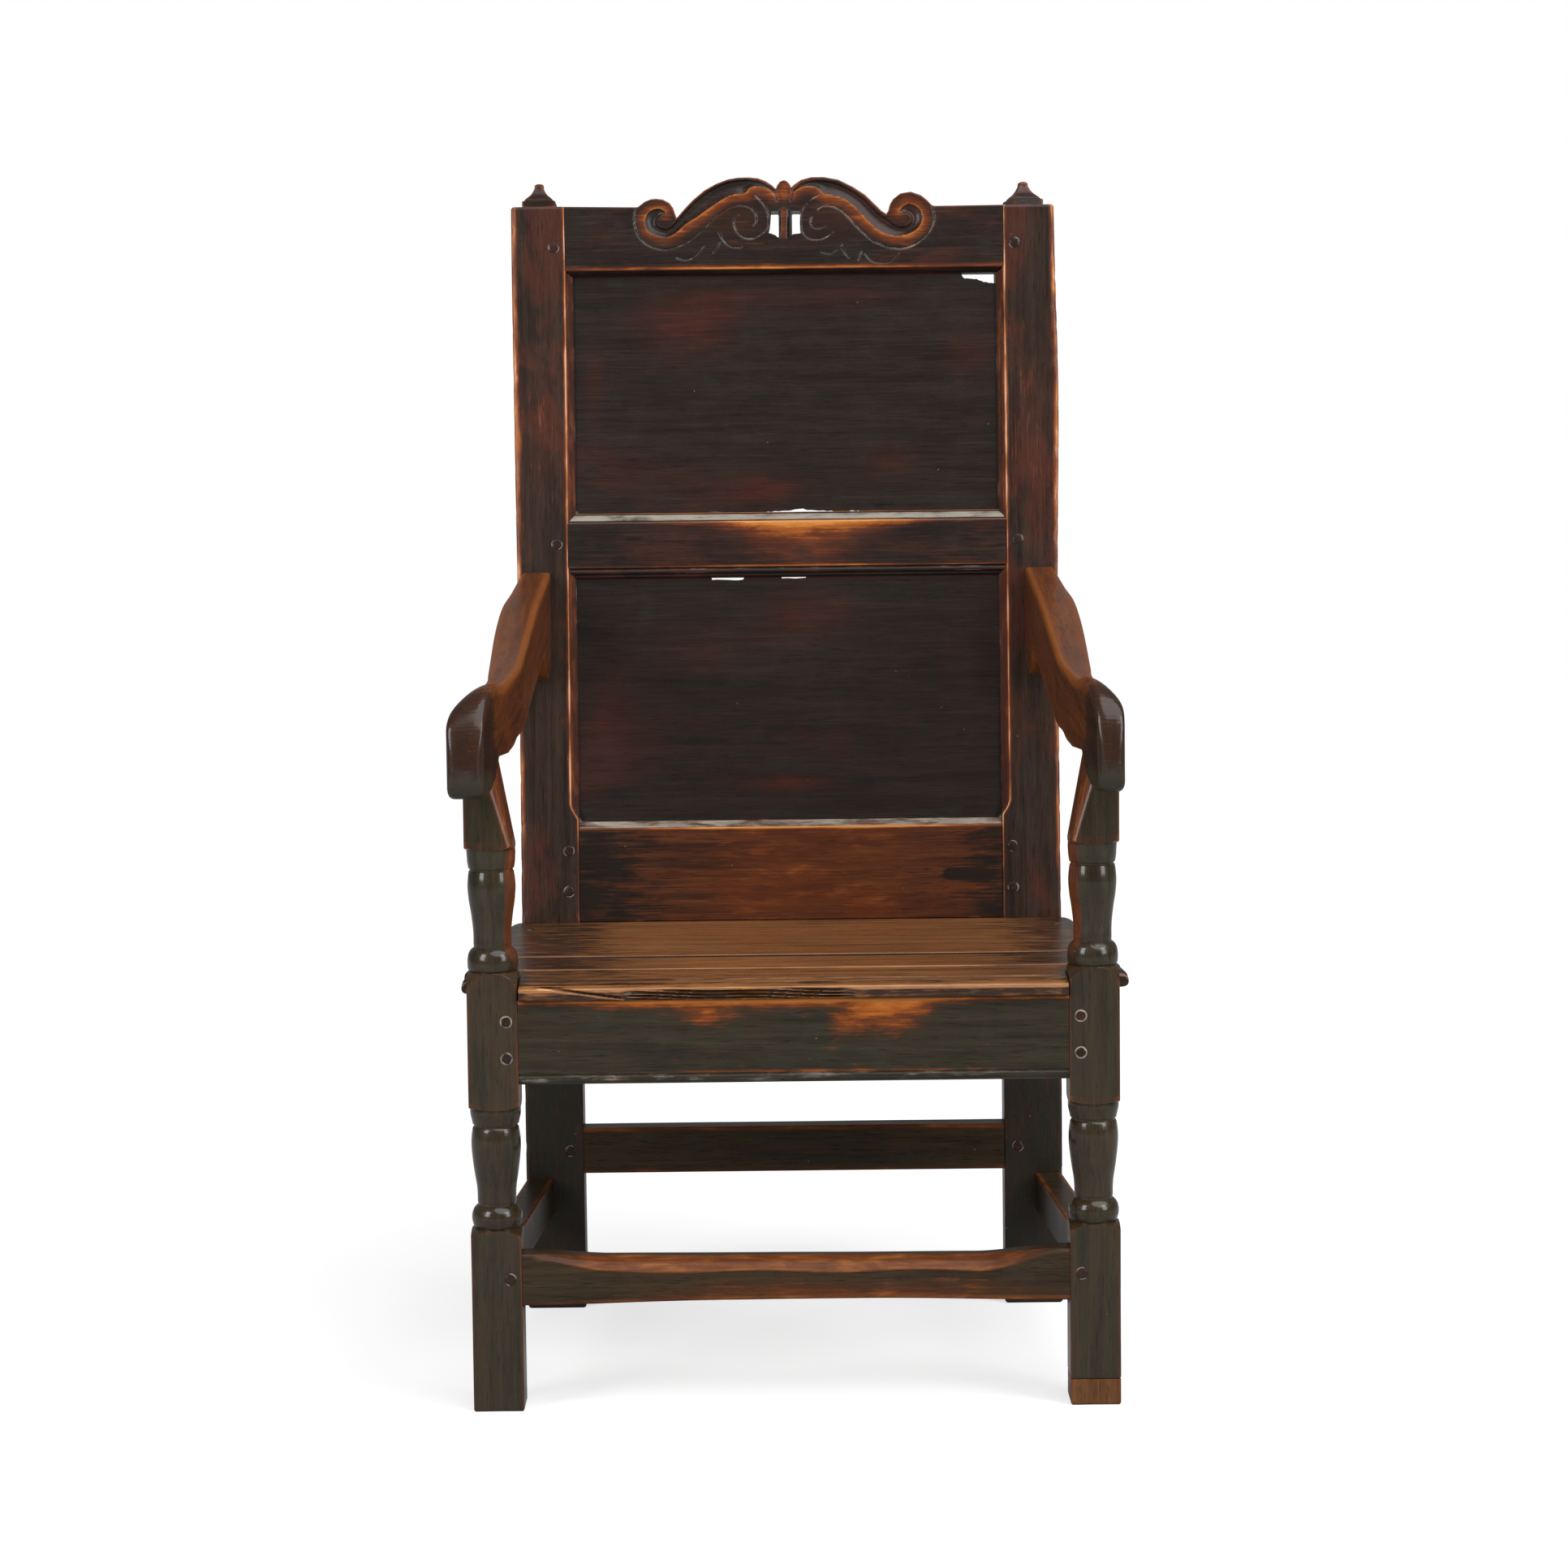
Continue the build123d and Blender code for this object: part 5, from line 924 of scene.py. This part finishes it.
def makeLeg(side, foot):
    size, a = leg, leg["half"]
    rows, square = legRows(foot, size["top"])
    atCorner = np.exp(-((np.abs(np.degrees(legTurns)) % 90 - 45) / 3.0) ** 2)
    rings, wearAndPaintedLightRows, dustAndSheenRows = [], [], []
    for z, r, wearAndPaintedLight, dustAndSheen in rows:
        tuck = 1.3 * np.clip(1 - (z - foot) / 1.6, 0, 1)
        x, y = np.cos(legTurns) * (r - tuck), np.sin(legTurns) * (r - tuck)
        isSquare = float(np.all(np.abs(r - square) < 1e-6))
        # the inner side tapers up to the arm, and its front corner is chamfered more and more
        up = np.clip((z - size["taperFrom"]) / (size["top"] - size["taperFrom"]), 0, 1)
        inner = -a + (2 * a - size["topWidth"]) * up
        x = np.maximum(x, inner)
        facet = size["chamfer"][0] + size["chamfer"][1] * up
        over = facet - (x - inner) - (y + a)
        rubbed = smooth(-4, 3, over) * smooth(505, 509, z)
        over = (over + np.sqrt(over**2 + 22.0)) / 2 * smooth(505, 509, z)
        x, y = x + over / 2, y + over / 2
        outer = size["outerChamfer"] * smooth(548, 589, z)
        x = x - np.maximum(0, outer - (a - x) - (589 - z)) * (z > 560) * 0.7
        ring = np.column_stack((size["centre"] + x, frontY + a + y, z))
        ring = ring - 0.14 * (1 + ripple(ring, 45.0, 2.0 * side))[:, None] * np.column_stack((x, y, 0 * x)) / 25
        rings.append(ring)
        inside = smooth(0.3, 0.8, -np.cos(legTurns)) * smooth(385, 420, z)  # redder on the inner side: wear, and a painted highlight where it catches the light
        wearAndPaintedLightRows.append(np.maximum(wearAndPaintedLight + 0.42 * atCorner * isSquare + (0.55 - wearAndPaintedLight) * inside, 0.6 * rubbed))
        dustAndSheenRows.append(np.full(len(legTurns), dustAndSheen))
    bm = tube(rings, wearAndPaintedLightRows, dustAndSheenRows)
    return bm if side > 0 else otherSide(bm)


for side, word in sides:
    bm = makeLeg(side, leg["foot"][side])
    finishPiece(bm, word + "_front_leg", ["front_leg_" + word], legOak)


def makeFoot():
    rings, wearAndPaintedLightRows = [], []
    for z in (0.0, 0.5, 1.3, 2.0, 5.0, 9.0, 14.0, 19.0, 22.0, 23.2, 23.5):
        r = squareRadius(legTurns, leg["half"] - 0.25, 1.6) - 1.6 * max(0.0, 1 - z / 1.6) - 0.4 * (z > 23.3)
        rings.append(np.column_stack((leg["centre"] + np.cos(legTurns) * r, frontY + 22.75 + np.sin(legTurns) * r,
                                      np.full(len(r), z))))
        wearAndPaintedLightRows.append(0.4 * np.exp(-((np.abs(np.degrees(legTurns)) % 90 - 45) / 6.0) ** 2))
    return tube(rings, wearAndPaintedLightRows)


finishPiece(makeFoot(), "right_foot_tip", ["foot_tip_right"], footOak)
print("front legs")

# arms: (behind the legs' front faces, height) of the top, then of the underside, from the post to the grip
arm = {
    "sides": [
        (453, 730, 446, 640), (430, 726.3, 425, 631), (415, 723.8, 410, 628), (395, 720.6, 393, 633),
        (381, 718.3, 379, 648), (374.5, 717.3, 374.5, 656.5), (364, 715.5, 364, 654), (305, 706, 300, 640.5),
        (230, 689, 230, 625), (160, 673, 160, 610.5), (110, 663.3, 110, 602), (80, 657.8, 80, 598),
        (70, 656.2, 70, 594.3), (62, 655, 62, 592.3), (56, 654, 56, 591.2), (52, 653.5, 52, 590.6),
        (48, 653, 48, 590), (45.5, 652.6, 45.5, 589), (24, 652.2, 22, 589), (0, 655.8, 0, 589),
        (-12, 655.5, -8, 578), (-24, 651.5, -17, 567), (-35, 645, -26, 560), (-45, 635, -35, 556.5),
        (-52, 623, -44, 557.5), (-55.6, 611, -50, 560.5), (-57.0, 601, -54.6, 567), (-57.3, 592, -56.8, 577),
        (-57.4, 586, -57.4, 583)],
    "sharp": (5, 17, 19), "nose": 57.4, "edge": 7.5,
    "spread": {1: -6.5, -1: 2.0}, "shoulder": {1: (26, 31), -1: (34, 38)},  # the two grips differ
    "outer": [(-57.5, 298), (-40, 297.5), (-20, 294), (0, 289), (20, 283), (40, 276), (60, 271), (80, 271.5),
              (100, 272), (305, 272), (372, 267), (453, 262)],
    "inner": [(-57.5, 269), (-35, 264), (-15, 259), (15, 255), (45, 251), (75, 247), (107, 243.5), (160, 242),
              (305, 238), (453, 234)],
}


def makeArm(side):
    keys = np.array(arm["sides"], float)
    span = np.maximum(np.hypot(*np.diff(keys[:, :2], axis=0).T), np.hypot(*np.diff(keys[:, 2:], axis=0).T))
    counts = np.maximum(2, np.round(span / np.where(np.arange(len(span)) > 18, 1.2, 3.5))).astype(int)
    at = np.concatenate([i + np.arange(n) / n for i, n in enumerate(counts)] + [[len(keys) - 1.0]])
    tops = through(keys[:, :2], at, (0,))
    lows = through(keys[:, 2:], at, arm["sharp"])
    outer, inner = curve(arm["outer"]), curve(arm["inner"])
    rings, wearAndPaintedLightRows, dustAndSheenRows = [], [], []
    for top, low in zip(tops, lows):
        grip = float(smooth(70, -10, top[0]))
        height = np.linalg.norm(top - low)
        d = (top[0] + low[0]) / 2
        x1 = np.interp(min(top[0], low[0]), outer[:, 0], outer[:, 1]) + arm["spread"][side] * grip
        x0 = np.interp(d, inner[:, 0], inner[:, 1])
        width = x1 - x0
        corners = [(0, 0, 2.0 + 3 * grip), (width, 0, 2.5 + 4 * grip), (width, height, 3.0 + 5 * grip),
                   (0, height, 3.5 + 5 * grip)]
        pts, near, away = section(corners, [8, 14, 12, 14], arc=5)
        f = pts[:, 1] / height
        profile = low + (top - low) * f[:, None]
        # the front edges of the grip are rounded over
        edge = arm["edge"]
        ahead = np.clip((edge - arm["nose"] - profile[:, 0]) / edge, 0, 1)
        pull = edge * (1 - np.sqrt(1 - ahead**2)) * (2 * pts[:, 0] / width - 1)
        nose = smooth(0, -33, profile[:, 0])  # the front of the grip is black with handling
        endGrain = np.sin(2.0 * profile[:, 1] + 1.5 * np.sin(0.35 * profile[:, 1]) + 0.04 * pts[:, 0]) * nose
        # its outer shoulder is rounded off on an ellipse
        across, down = arm["shoulder"][side]
        u = np.clip((x0 + pts[:, 0] - pull - x1 + across) / across, 0, 1)
        v = np.clip((profile[:, 1] - 656 + down) / down, 0, 1)
        across, down = across * u * (1 - np.sqrt(1 - grip * v**2 / 2)), down * v * (1 - np.sqrt(1 - grip * u**2 / 2))
        ring = np.column_stack((x0 + pts[:, 0] - pull - across, frontY + profile[:, 0] + 0.06 * endGrain,
                                profile[:, 1] - down))
        ring = ring + 0.2 * ripple(ring, 45.0, 3.0 * side)[:, None] * np.array([0.5, 0, 0.3])
        rings.append(ring)
        w = np.array([0.3, 0.3, 0.3, 0.55])[near] * np.exp(-(away / 3.0) ** 2) + 0.1 * (near > 1)
        dark = -0.74 + 0.2 * endGrain
        wearAndPaintedLightRows.append(w * (1 - nose) + dark * nose + 0.15 * w * nose * (near == 3) - 0.4 * grip * smooth(0.5, 0.1, f))
        dustAndSheenRows.append(nose * smooth(606, 558, profile[:, 1]))
    bm = tube(rings, wearAndPaintedLightRows, dustAndSheenRows)
    return bm if side > 0 else otherSide(bm)


for side, word in sides:
    finishPiece(makeArm(side), word + "_arm", ["arm_" + word], armOak, sharp=32.0)
print("arms")

seat = {"thick": 15.5, "nose": -6.0, "notchX": 244.5, "notchD": 46.0, "ear": 301.9, "rear": 276.0, "rearD": 420.0,
        "leftEar": 3.8, "round": 7.0, "corner": 12.0, "quirkD": 24.0, "joints": (90.9, 91.1, 176.0, 177.2)}


def seatHalf(d):
    return seat["ear"] + (seat["rear"] - seat["ear"]) * (d - seat["notchD"]) / (seat["rearD"] - seat["notchD"])


def makeFrontBoard():
    # sections from front to back, run across the chair: split nose, quirk, top and underside
    size = seat
    under, top, back = seatTop - size["thick"], seatTop - 0.75, size["joints"][0]
    nose = curve([(-3.6, under), (-5.2, under + 1.0), (-6.0, under + 4.5), (-5.6, under + 8.0), (-3.6, under + 11.1),
                  (1.0, under + 13.3), (8.0, under + 14.7), (18.0, top)], step=0.75)
    quirk = [(size["quirkD"] + a, top - b)
             for a, b in ((-1.8, 0), (-1.2, 0.7), (0, 1.6), (1.0, 1.3), (1.4, 0.3), (2.2, 0))]
    tops = [(d, top) for d in np.linspace(28, back - 1.6, 18)]
    rear = [(back - 0.5, top - 0.4), (back, top - 1.2), (back, under + 7), (back, under + 0.6)]
    below = [(d, under) for d in np.linspace(back - 0.6, 2, 6)]
    pts = np.vstack((nose, quirk, tops, rear, below))
    d, z = pts[:, 0], pts[:, 1]
    onTop = z > top - 1.8
    ahead = (d < 12) & ~onTop
    ends = (-size["ear"], -size["notchX"], size["notchX"], size["ear"])
    rings, wearAndPaintedLightRows, dustAndSheenRows = [], [], []
    places = stations(-size["ear"], size["ear"], 2.6, ends)
    for x in np.sort(np.concatenate((places, [s * (size["notchX"] + 0.25) for s in (1, -1)]))):
        outside = abs(x) > size["notchX"] + 0.1
        deep, high = d.copy(), z.copy()
        # the face under the nose is split away in the middle, and a long split climbs to the left end
        broken = float(smooth(-156, -138, x) * smooth(58, 36, x)) * ahead * smooth(under + 11, under + 8.5, z)
        layers = 1.9 + 1.1 * np.sin((z - under) * 2.1 + x * 0.05 + 1.4 * math.sin(x / 17.0))
        climb = under + 14.6 - (x + 240) * 0.145
        split = np.exp(-((z - climb - 1.1) / 1.0) ** 2) * ahead * float(smooth(-243, -236, x) * smooth(-146, -156, x))
        if outside:
            deep = size["notchD"] + (deep - size["nose"]) * (back - size["notchD"]) / (back - size["nose"])
            half = seatHalf(deep)
            across = math.copysign(1, x) * (size["notchX"] + (abs(x) - size["notchX"])
                                            * (half - size["notchX"]) / (size["ear"] - size["notchX"]))
        else:
            deep = deep + broken * layers + 2.4 * split
            across = np.full(len(d), x)
        end = size["ear"] - abs(x)
        if end < size["round"]:
            drop = size["round"] - math.sqrt(max(0.0, size["round"] ** 2 - (size["round"] - end) ** 2))
            high = high + drop * (0.5 - 1.4 * (z - under) / size["thick"])
        if x < -size["notchX"]:  # the left ear is a little shorter
            across = across + size["leftEar"] * (abs(x) - size["notchX"]) / (size["ear"] - size["notchX"])
        ring = np.column_stack((across, frontY + deep, high))
        ring[:, 2] += (z > under + 2) * (-0.22 + 0.22 * ripple(ring * [0.4, 1, 1], 60.0, 1.0))
        left = float(smooth(-60, -200, x))
        # a painted highlight runs along the top of the nose, and the face under the nose is painted darker as painted
        # shade
        w = 1.0 * np.exp(-((d + 3.7) / 0.8) ** 2) * (z > under + 9.0) - 0.55 * ahead * (z < under + 8.5)
        # the rounded top of the nose is painted darker: painted shade against its light
        w = w - 0.2 * ((d < 6) & (d > -3))
        w = w - 1.2 * broken + 1.7 * broken * (layers < 1.1) - 1.4 * split
        w = w + 0.9 * np.exp(-((z - climb + 0.6) / 0.7) ** 2) * ahead * (split.max() > 0.2)
        w = w - 0.9 * float(smooth(size["notchX"] - 12, size["notchX"] + 14, abs(x)))
        w = w - (0.22 + 0.2 * left) * onTop * (d > 2)
        w = w + 0.7 * np.exp(-((d - back + 1.2) / 0.9) ** 2) * onTop
        w = w - (0.3 + 1.2 * left) * (np.abs(d - size["quirkD"]) < 2.0) * onTop
        rings.append(ring)
        wearAndPaintedLightRows.append(w)
        dustAndSheenRows.append(onTop * 0.75 * np.exp(-((d - size["quirkD"] - 1.6) / 0.6) ** 2) * (1 - 0.5 * left))
    return tube(rings, wearAndPaintedLightRows, dustAndSheenRows)


def makeBoard(fromD, toD, isRear, sag, seed):
    # rings across the board, one behind the other. sag is how far its back edge has sunk in the middle
    size = seat
    under = seatTop - size["thick"]
    rings, wearAndPaintedLightRows, dustAndSheenRows = [], [], []
    for d in stations(fromD, toD, 4.0, (fromD, toD)):
        half = seatHalf(d)
        if isRear and toD - d < size["corner"]:
            half -= size["corner"] - math.sqrt(size["corner"] ** 2 - (size["corner"] - (toD - d)) ** 2)
        edge = min(d - fromD, toD - d)
        high = seatTop - 0.15 - (0.9 * (1 - edge) ** 2 if edge < 1.0 else 0.0)
        r = size["round"] if not isRear else min(size["round"], 1.5 + (toD - d))
        corners = [(-half, under, 4.0), (half, under, 4.0), (half, high, r), (-half, high, r)]
        pts, near, away = section(corners, [30, 3, 90, 3], arc=4)
        ring = np.column_stack((pts[:, 0], np.full(len(pts), frontY + d), pts[:, 1]))
        onTop = pts[:, 1] > high - 2
        middle = np.exp(-(pts[:, 0] / 215) ** 6)
        ring[:, 2] += onTop * (-0.25 + 0.25 * ripple(ring * [0.4, 1, 1], 60.0, seed))
        ring[:, 2] -= onTop * sag * middle * float(smooth(toD - 14, toD, d))
        fade = np.where(pts[:, 0] < 0, 112, 145)
        ends = smooth(fade, fade + 110, np.abs(pts[:, 0]))
        front = d - fromD
        w = onTop * (0.8 * math.exp(-(front / 4.0) ** 2) - 0.55 * ends)
        w = w - 1.6 * onTop * float(smooth(toD - 7.0, toD - 2.0, d)) * (not isRear) - 0.8 * np.exp(-(away / 5) ** 2)
        # the rear joint and the back of the middle board are painted black: dirt, and painted shade of the gap between
        # the boards; the front one shows its worn arris
        w = np.where((edge < 0.3) & (isRear or front > 1), -2.0, w - 0.12 * onTop * (not isRear))
        rings.append(ring)
        wearAndPaintedLightRows.append(w)
        dustAndSheenRows.append(0.35 * onTop * (1 - middle) * math.exp(-edge / 0.7))
    return tube(rings, wearAndPaintedLightRows, dustAndSheenRows)


finishPiece(makeFrontBoard(), "front_seat_board", ["seat_board_front"], seatOak)
bm = makeBoard(seat["joints"][1], seat["joints"][2], False, 4.0, 3.0)
finishPiece(bm, "middle_seat_board", ["seat_board_middle"], seatOak)
bm = makeBoard(seat["joints"][3], seat["rearD"], True, 0.0, 6.0)
finishPiece(bm, "rear_seat_board", ["seat_board_rear"], seatOak)
print("seat")

finial = {"post": (237.2, 23.0), "turnedAndOut": {1: (12.0, 0.0), -1: (0.0, 4.6)}, "profile": [
    (0.0, 16.0), (0.6, 16.4), (5.8, 16.4), (6.4, 15.9), (6.8, 14.6), (7.2, 14.2), (8.6, 13.2), (10.8, 11.0),
    (13.2, 8.4), (16.0, 6.5), (18.6, 5.2), (20.2, 4.6), (21.4, 4.5), (22.8, 4.6), (24.0, 3.9), (24.8, 2.6),
    (24.95, 1.2)]}


def makeFinial(side, twist, outward):
    turned = math.radians(twist)
    rings, wearAndPaintedLightRows = [], []
    for up, half in curve(finial["profile"], (1, 2, 3, 4, 5, 14, 15), 0.8):
        rounded = 0.7 + 1.6 * float(smooth(19, 22, up))
        corners = [(-half, -half, rounded), (half, -half, rounded), (half, half, rounded), (-half, half, rounded)]
        pts, near, away = section(corners, 5, 2)
        u = pts[:, 0] * math.cos(turned) - pts[:, 1] * math.sin(turned)
        v = pts[:, 0] * math.sin(turned) + pts[:, 1] * math.cos(turned)
        rings.append(raked(finial["post"][0] + outward + u, postTop + up + (2.6 if side < 0 else -0.5),
                           finial["post"][1] + v))
        wearAndPaintedLightRows.append(0.16 + 0.3 * np.exp(-(away / 1.5) ** 2) + 0.3 * math.exp(-((up - 0.4) / 0.6) ** 2))
    bm = tube(rings, wearAndPaintedLightRows)
    return bm if side > 0 else otherSide(bm)


for side, word in sides:
    bm = makeFinial(side, *finial["turnedAndOut"][side])
    finishPiece(bm, word + "_finial", ["finial_" + word], railOak, sharp=30.0)
print("finials")

peg = {"radius": 4.7, "rim": 0.9, "proud": 0.15, "depth": 12.0, "seatRadius": 3.45}


def makePegs(spots, outward, radius, seed, dusty=0.0):
    # split pegs, eight-sided, each in its rim of old wax and dust
    turn = Vector(outward).normalized().to_track_quat("Z", "Y").to_matrix().to_4x4()
    bm = bmesh.new()
    wearAndPaintedLightLayer = bm.verts.layers.float.new("wearAndPaintedLight")
    dustAndSheenLayer = bm.verts.layers.float.new("dustAndSheen")
    for n, spot in enumerate(spots):
        made = bmesh.ops.create_cone(bm, cap_ends=True, segments=16, radius1=radius + peg["rim"],
                                     radius2=radius + peg["rim"], depth=peg["depth"])["verts"]
        top = [f for f in {f for v in made for f in v.link_faces} if len(f.verts) > 4
               and f.calc_center_median().z > 0][0]
        every = set(made)
        bmesh.ops.inset_individual(bm, faces=[top], thickness=peg["rim"] * 0.6, depth=-0.06)
        every |= set(top.verts)
        bmesh.ops.inset_individual(bm, faces=[top], thickness=peg["rim"] * 0.4, depth=0.30)
        inner = set(top.verts)
        bmesh.ops.inset_individual(bm, faces=[top], thickness=radius * 0.35, depth=0.22)
        core = set(top.verts)
        inner |= core
        every |= inner
        for v in every:
            angle = math.atan2(v.co.y, v.co.x)
            if v in inner:
                v.co.x *= 1 - 0.06 * math.cos(4 * angle)
                v.co.y *= 1 - 0.06 * math.cos(4 * angle)
            rimDust = max(0.66 * dusty, 0.0 if v in inner else 0.45 + 0.35 * math.sin(1.7 * angle + 2.6 * n + seed))
            v[dustAndSheenLayer] = 0.0 if v in core else rimDust
            v[wearAndPaintedLightLayer] = 0.1
            v.co.z += peg["proud"] - peg["depth"] / 2
        twist = Matrix.Rotation(math.radians(17 * n + 9 * seed), 4, "Z")
        bmesh.ops.transform(bm, matrix=Matrix.Translation(Vector(spot)) @ turn @ twist, verts=list(every))
    bmesh.ops.scale(bm, vec=(mm, mm, mm), verts=bm.verts[:])
    return bm


facing = (0, -math.cos(rake), math.sin(rake))
front = (0, -1, 0)
pegSets = [
    ("crest_rail", [raked(s * 227.1, 665.0, 0) for s in (1, -1)], facing),
    ("mid_rail", [raked(s * 227.1, 372.7, 0) for s in (1, -1)], facing),
    ("lower_back_rail", [raked(s * 218.9, r, 0) for r in (30.1, 70.3) for s in (1, -1)], facing),
    ("rear_seat_rail", [(s * 218.9, backY, z) for z in (320.0, 353.0) for s in (1, -1)], front),
    ("rear_stretcher", [(s * 221.9, backY, 158.25) for s in (1, -1)], front),
    ("front_seat_rail", [(s * 255.5, frontY, z) for z in (320.0, 353.0) for s in (1, -1)], front),
    ("front_stretcher", [(s * 255.5, frontY, 120.25) for s in (1, -1)], front),
]
for n, (name, spots, outward) in enumerate(pegSets):
    bm = makePegs(spots, outward, peg["radius"], n, 1.0 if name == "front_seat_rail" else 0.0)
    finishPiece(bm, "pegs_of_" + name, ["pegs_" + name], pegOak)
for side, word in sides:
    legSide, postSide = side * 290.5, side * 266.0
    spots = [(x, y, z) for x, y in ((legSide, legBackY - 10.5), (postSide, backY + 10.5)) for z in (320.0, 353.0)]
    finishPiece(makePegs(spots, (side, 0, 0), peg["radius"], 7 + side), "pegs_of_side_rail_" + word,
                ["pegs_side_seat_rail_" + word], pegOak)
    spots = [(legSide, legBackY - 10.5, 113.0), (postSide, backY + 10.5, 113.0)]
    finishPiece(makePegs(spots, (side, 0, 0), peg["radius"], 9 + side), "pegs_of_side_stretcher_" + word,
                ["pegs_side_stretcher_" + word], pegOak)
    tenonZ = 589.0 + 96.0
    postY = backY + (tenonZ - seatTop) * math.tan(rake) + 10.5
    spots = [(postSide, postY, tenonZ), (side * 283.0, frontY + 22.75, 606.0)]
    finishPiece(makePegs(spots, (side, 0, 0), peg["radius"], 11 + side), "pegs_of_arm_" + word,
                ["pegs_arm_" + word], pegOak)
spots = [(s * (sideFrontX + (sideBackX - sideFrontX) * (d - 45.5) / 374.5), frontY + d, seatTop - 0.3)
         for d in (68.0, 133.0, 215.0, 370.0) for s in (1, -1)]
finishPiece(makePegs(spots, (0, 0, 1), peg["seatRadius"], 5), "pegs_of_seat", ["pegs_seat"], pegOak)
print("pegs")

studio = {"cameraAt": (-0.006, -3.9858, 0.933), "pitchDown": 5.64, "roll": -0.65, "lens": 97.83,
          "floorHalf": 6.0, "floorGrey": 0.43, "bounceGrey": 0.45, "floorGlow": 0.65, "worldLight": 0.22,
          "sunAngle": 60}

floorMesh = bmesh.new()
bmesh.ops.create_grid(floorMesh, x_segments=1, y_segments=1, size=studio["floorHalf"])
mesh = bpy.data.meshes.new("floor")
floorMesh.to_mesh(mesh)
floorMesh.free()
floor = bpy.data.objects.new("floor", mesh)
bpy.context.scene.collection.objects.link(floor)
# white studio floor: it glows to the camera so that it goes white, and keeps the chair's shadow
floorMaterial = bpy.data.materials.new("white_studio_floor")
floorMaterial.use_nodes = True
tree = floorMaterial.node_tree
tree.nodes.clear()
grey = addNode(tree, "ShaderNodeBsdfDiffuse", {}, {"Color": (*[studio["bounceGrey"]] * 3, 1)}).outputs[0]
shade = addNode(tree, "ShaderNodeBsdfDiffuse", {}, {"Color": (*[studio["floorGrey"]] * 3, 1)}).outputs[0]
glow = addNode(tree, "ShaderNodeEmission", {}, {"Color": (1, 1, 1, 1), "Strength": studio["floorGlow"]}).outputs[0]
seen = addNode(tree, "ShaderNodeAddShader", {}, {0: shade, 1: glow}).outputs[0]
path = addNode(tree, "ShaderNodeLightPath").outputs["Is Camera Ray"]
surface = addNode(tree, "ShaderNodeMixShader", {}, {0: path, 1: grey, 2: seen}).outputs[0]
addNode(tree, "ShaderNodeOutputMaterial", {}, {0: surface})
mesh.materials.append(floorMaterial)

world = bpy.data.worlds.new("studio")
bpy.context.scene.world = world
world.use_nodes = True
tree = world.node_tree
tree.nodes.clear()
path = addNode(tree, "ShaderNodeLightPath").outputs["Is Camera Ray"]
soft = addNode(tree, "ShaderNodeBackground", {}, {"Color": (1, 1, 1, 1), "Strength": studio["worldLight"]}).outputs[0]
white = addNode(tree, "ShaderNodeBackground", {}, {"Color": (1, 1, 1, 1), "Strength": 1.0}).outputs[0]
mixed = addNode(tree, "ShaderNodeMixShader", {}, {0: path, 1: soft, 2: white}).outputs[0]
addNode(tree, "ShaderNodeOutputWorld", {}, {0: mixed})

lamps = {
    "overhead": {"kind": "SUN", "at": (0.7, -0.8, 1.6), "to": (0, 0, 0), "strength": 2.5},
    "left": {"kind": "AREA", "at": (-2.5, -2.4, 1.8), "to": (0, 0, 0.6), "size": (1.2, 2.2), "strength": 75.0},
    "right": {"kind": "AREA", "at": (2.7, -2.2, 1.7), "to": (0, 0, 0.6), "size": (1.2, 2.2), "strength": 58.0},
}
for name, lamp in lamps.items():
    data = bpy.data.lights.new(name, lamp["kind"])
    data.energy = lamp["strength"]
    if lamp["kind"] == "SUN":
        data.angle = math.radians(studio["sunAngle"])
    else:
        data.shape, data.size, data.size_y = "RECTANGLE", *lamp["size"]
    light = bpy.data.objects.new(name, data)
    light.location = lamp["at"]
    light.rotation_euler = (Vector(lamp["to"]) - Vector(lamp["at"])).to_track_quat("-Z", "Y").to_euler()
    bpy.context.scene.collection.objects.link(light)

cameraData = bpy.data.cameras.new("camera")
cameraData.lens = studio["lens"]
cameraData.sensor_width = 36.0
camera = bpy.data.objects.new("camera", cameraData)
aim = (Matrix.Rotation(math.radians(90 - studio["pitchDown"]), 4, "X")
       @ Matrix.Rotation(math.radians(studio["roll"]), 4, "Z"))
camera.matrix_world = Matrix.Translation(studio["cameraAt"]) @ aim
bpy.context.scene.collection.objects.link(camera)
bpy.context.scene.camera = camera
bpy.context.scene.view_settings.view_transform = "Standard"
print("floor, light and camera")
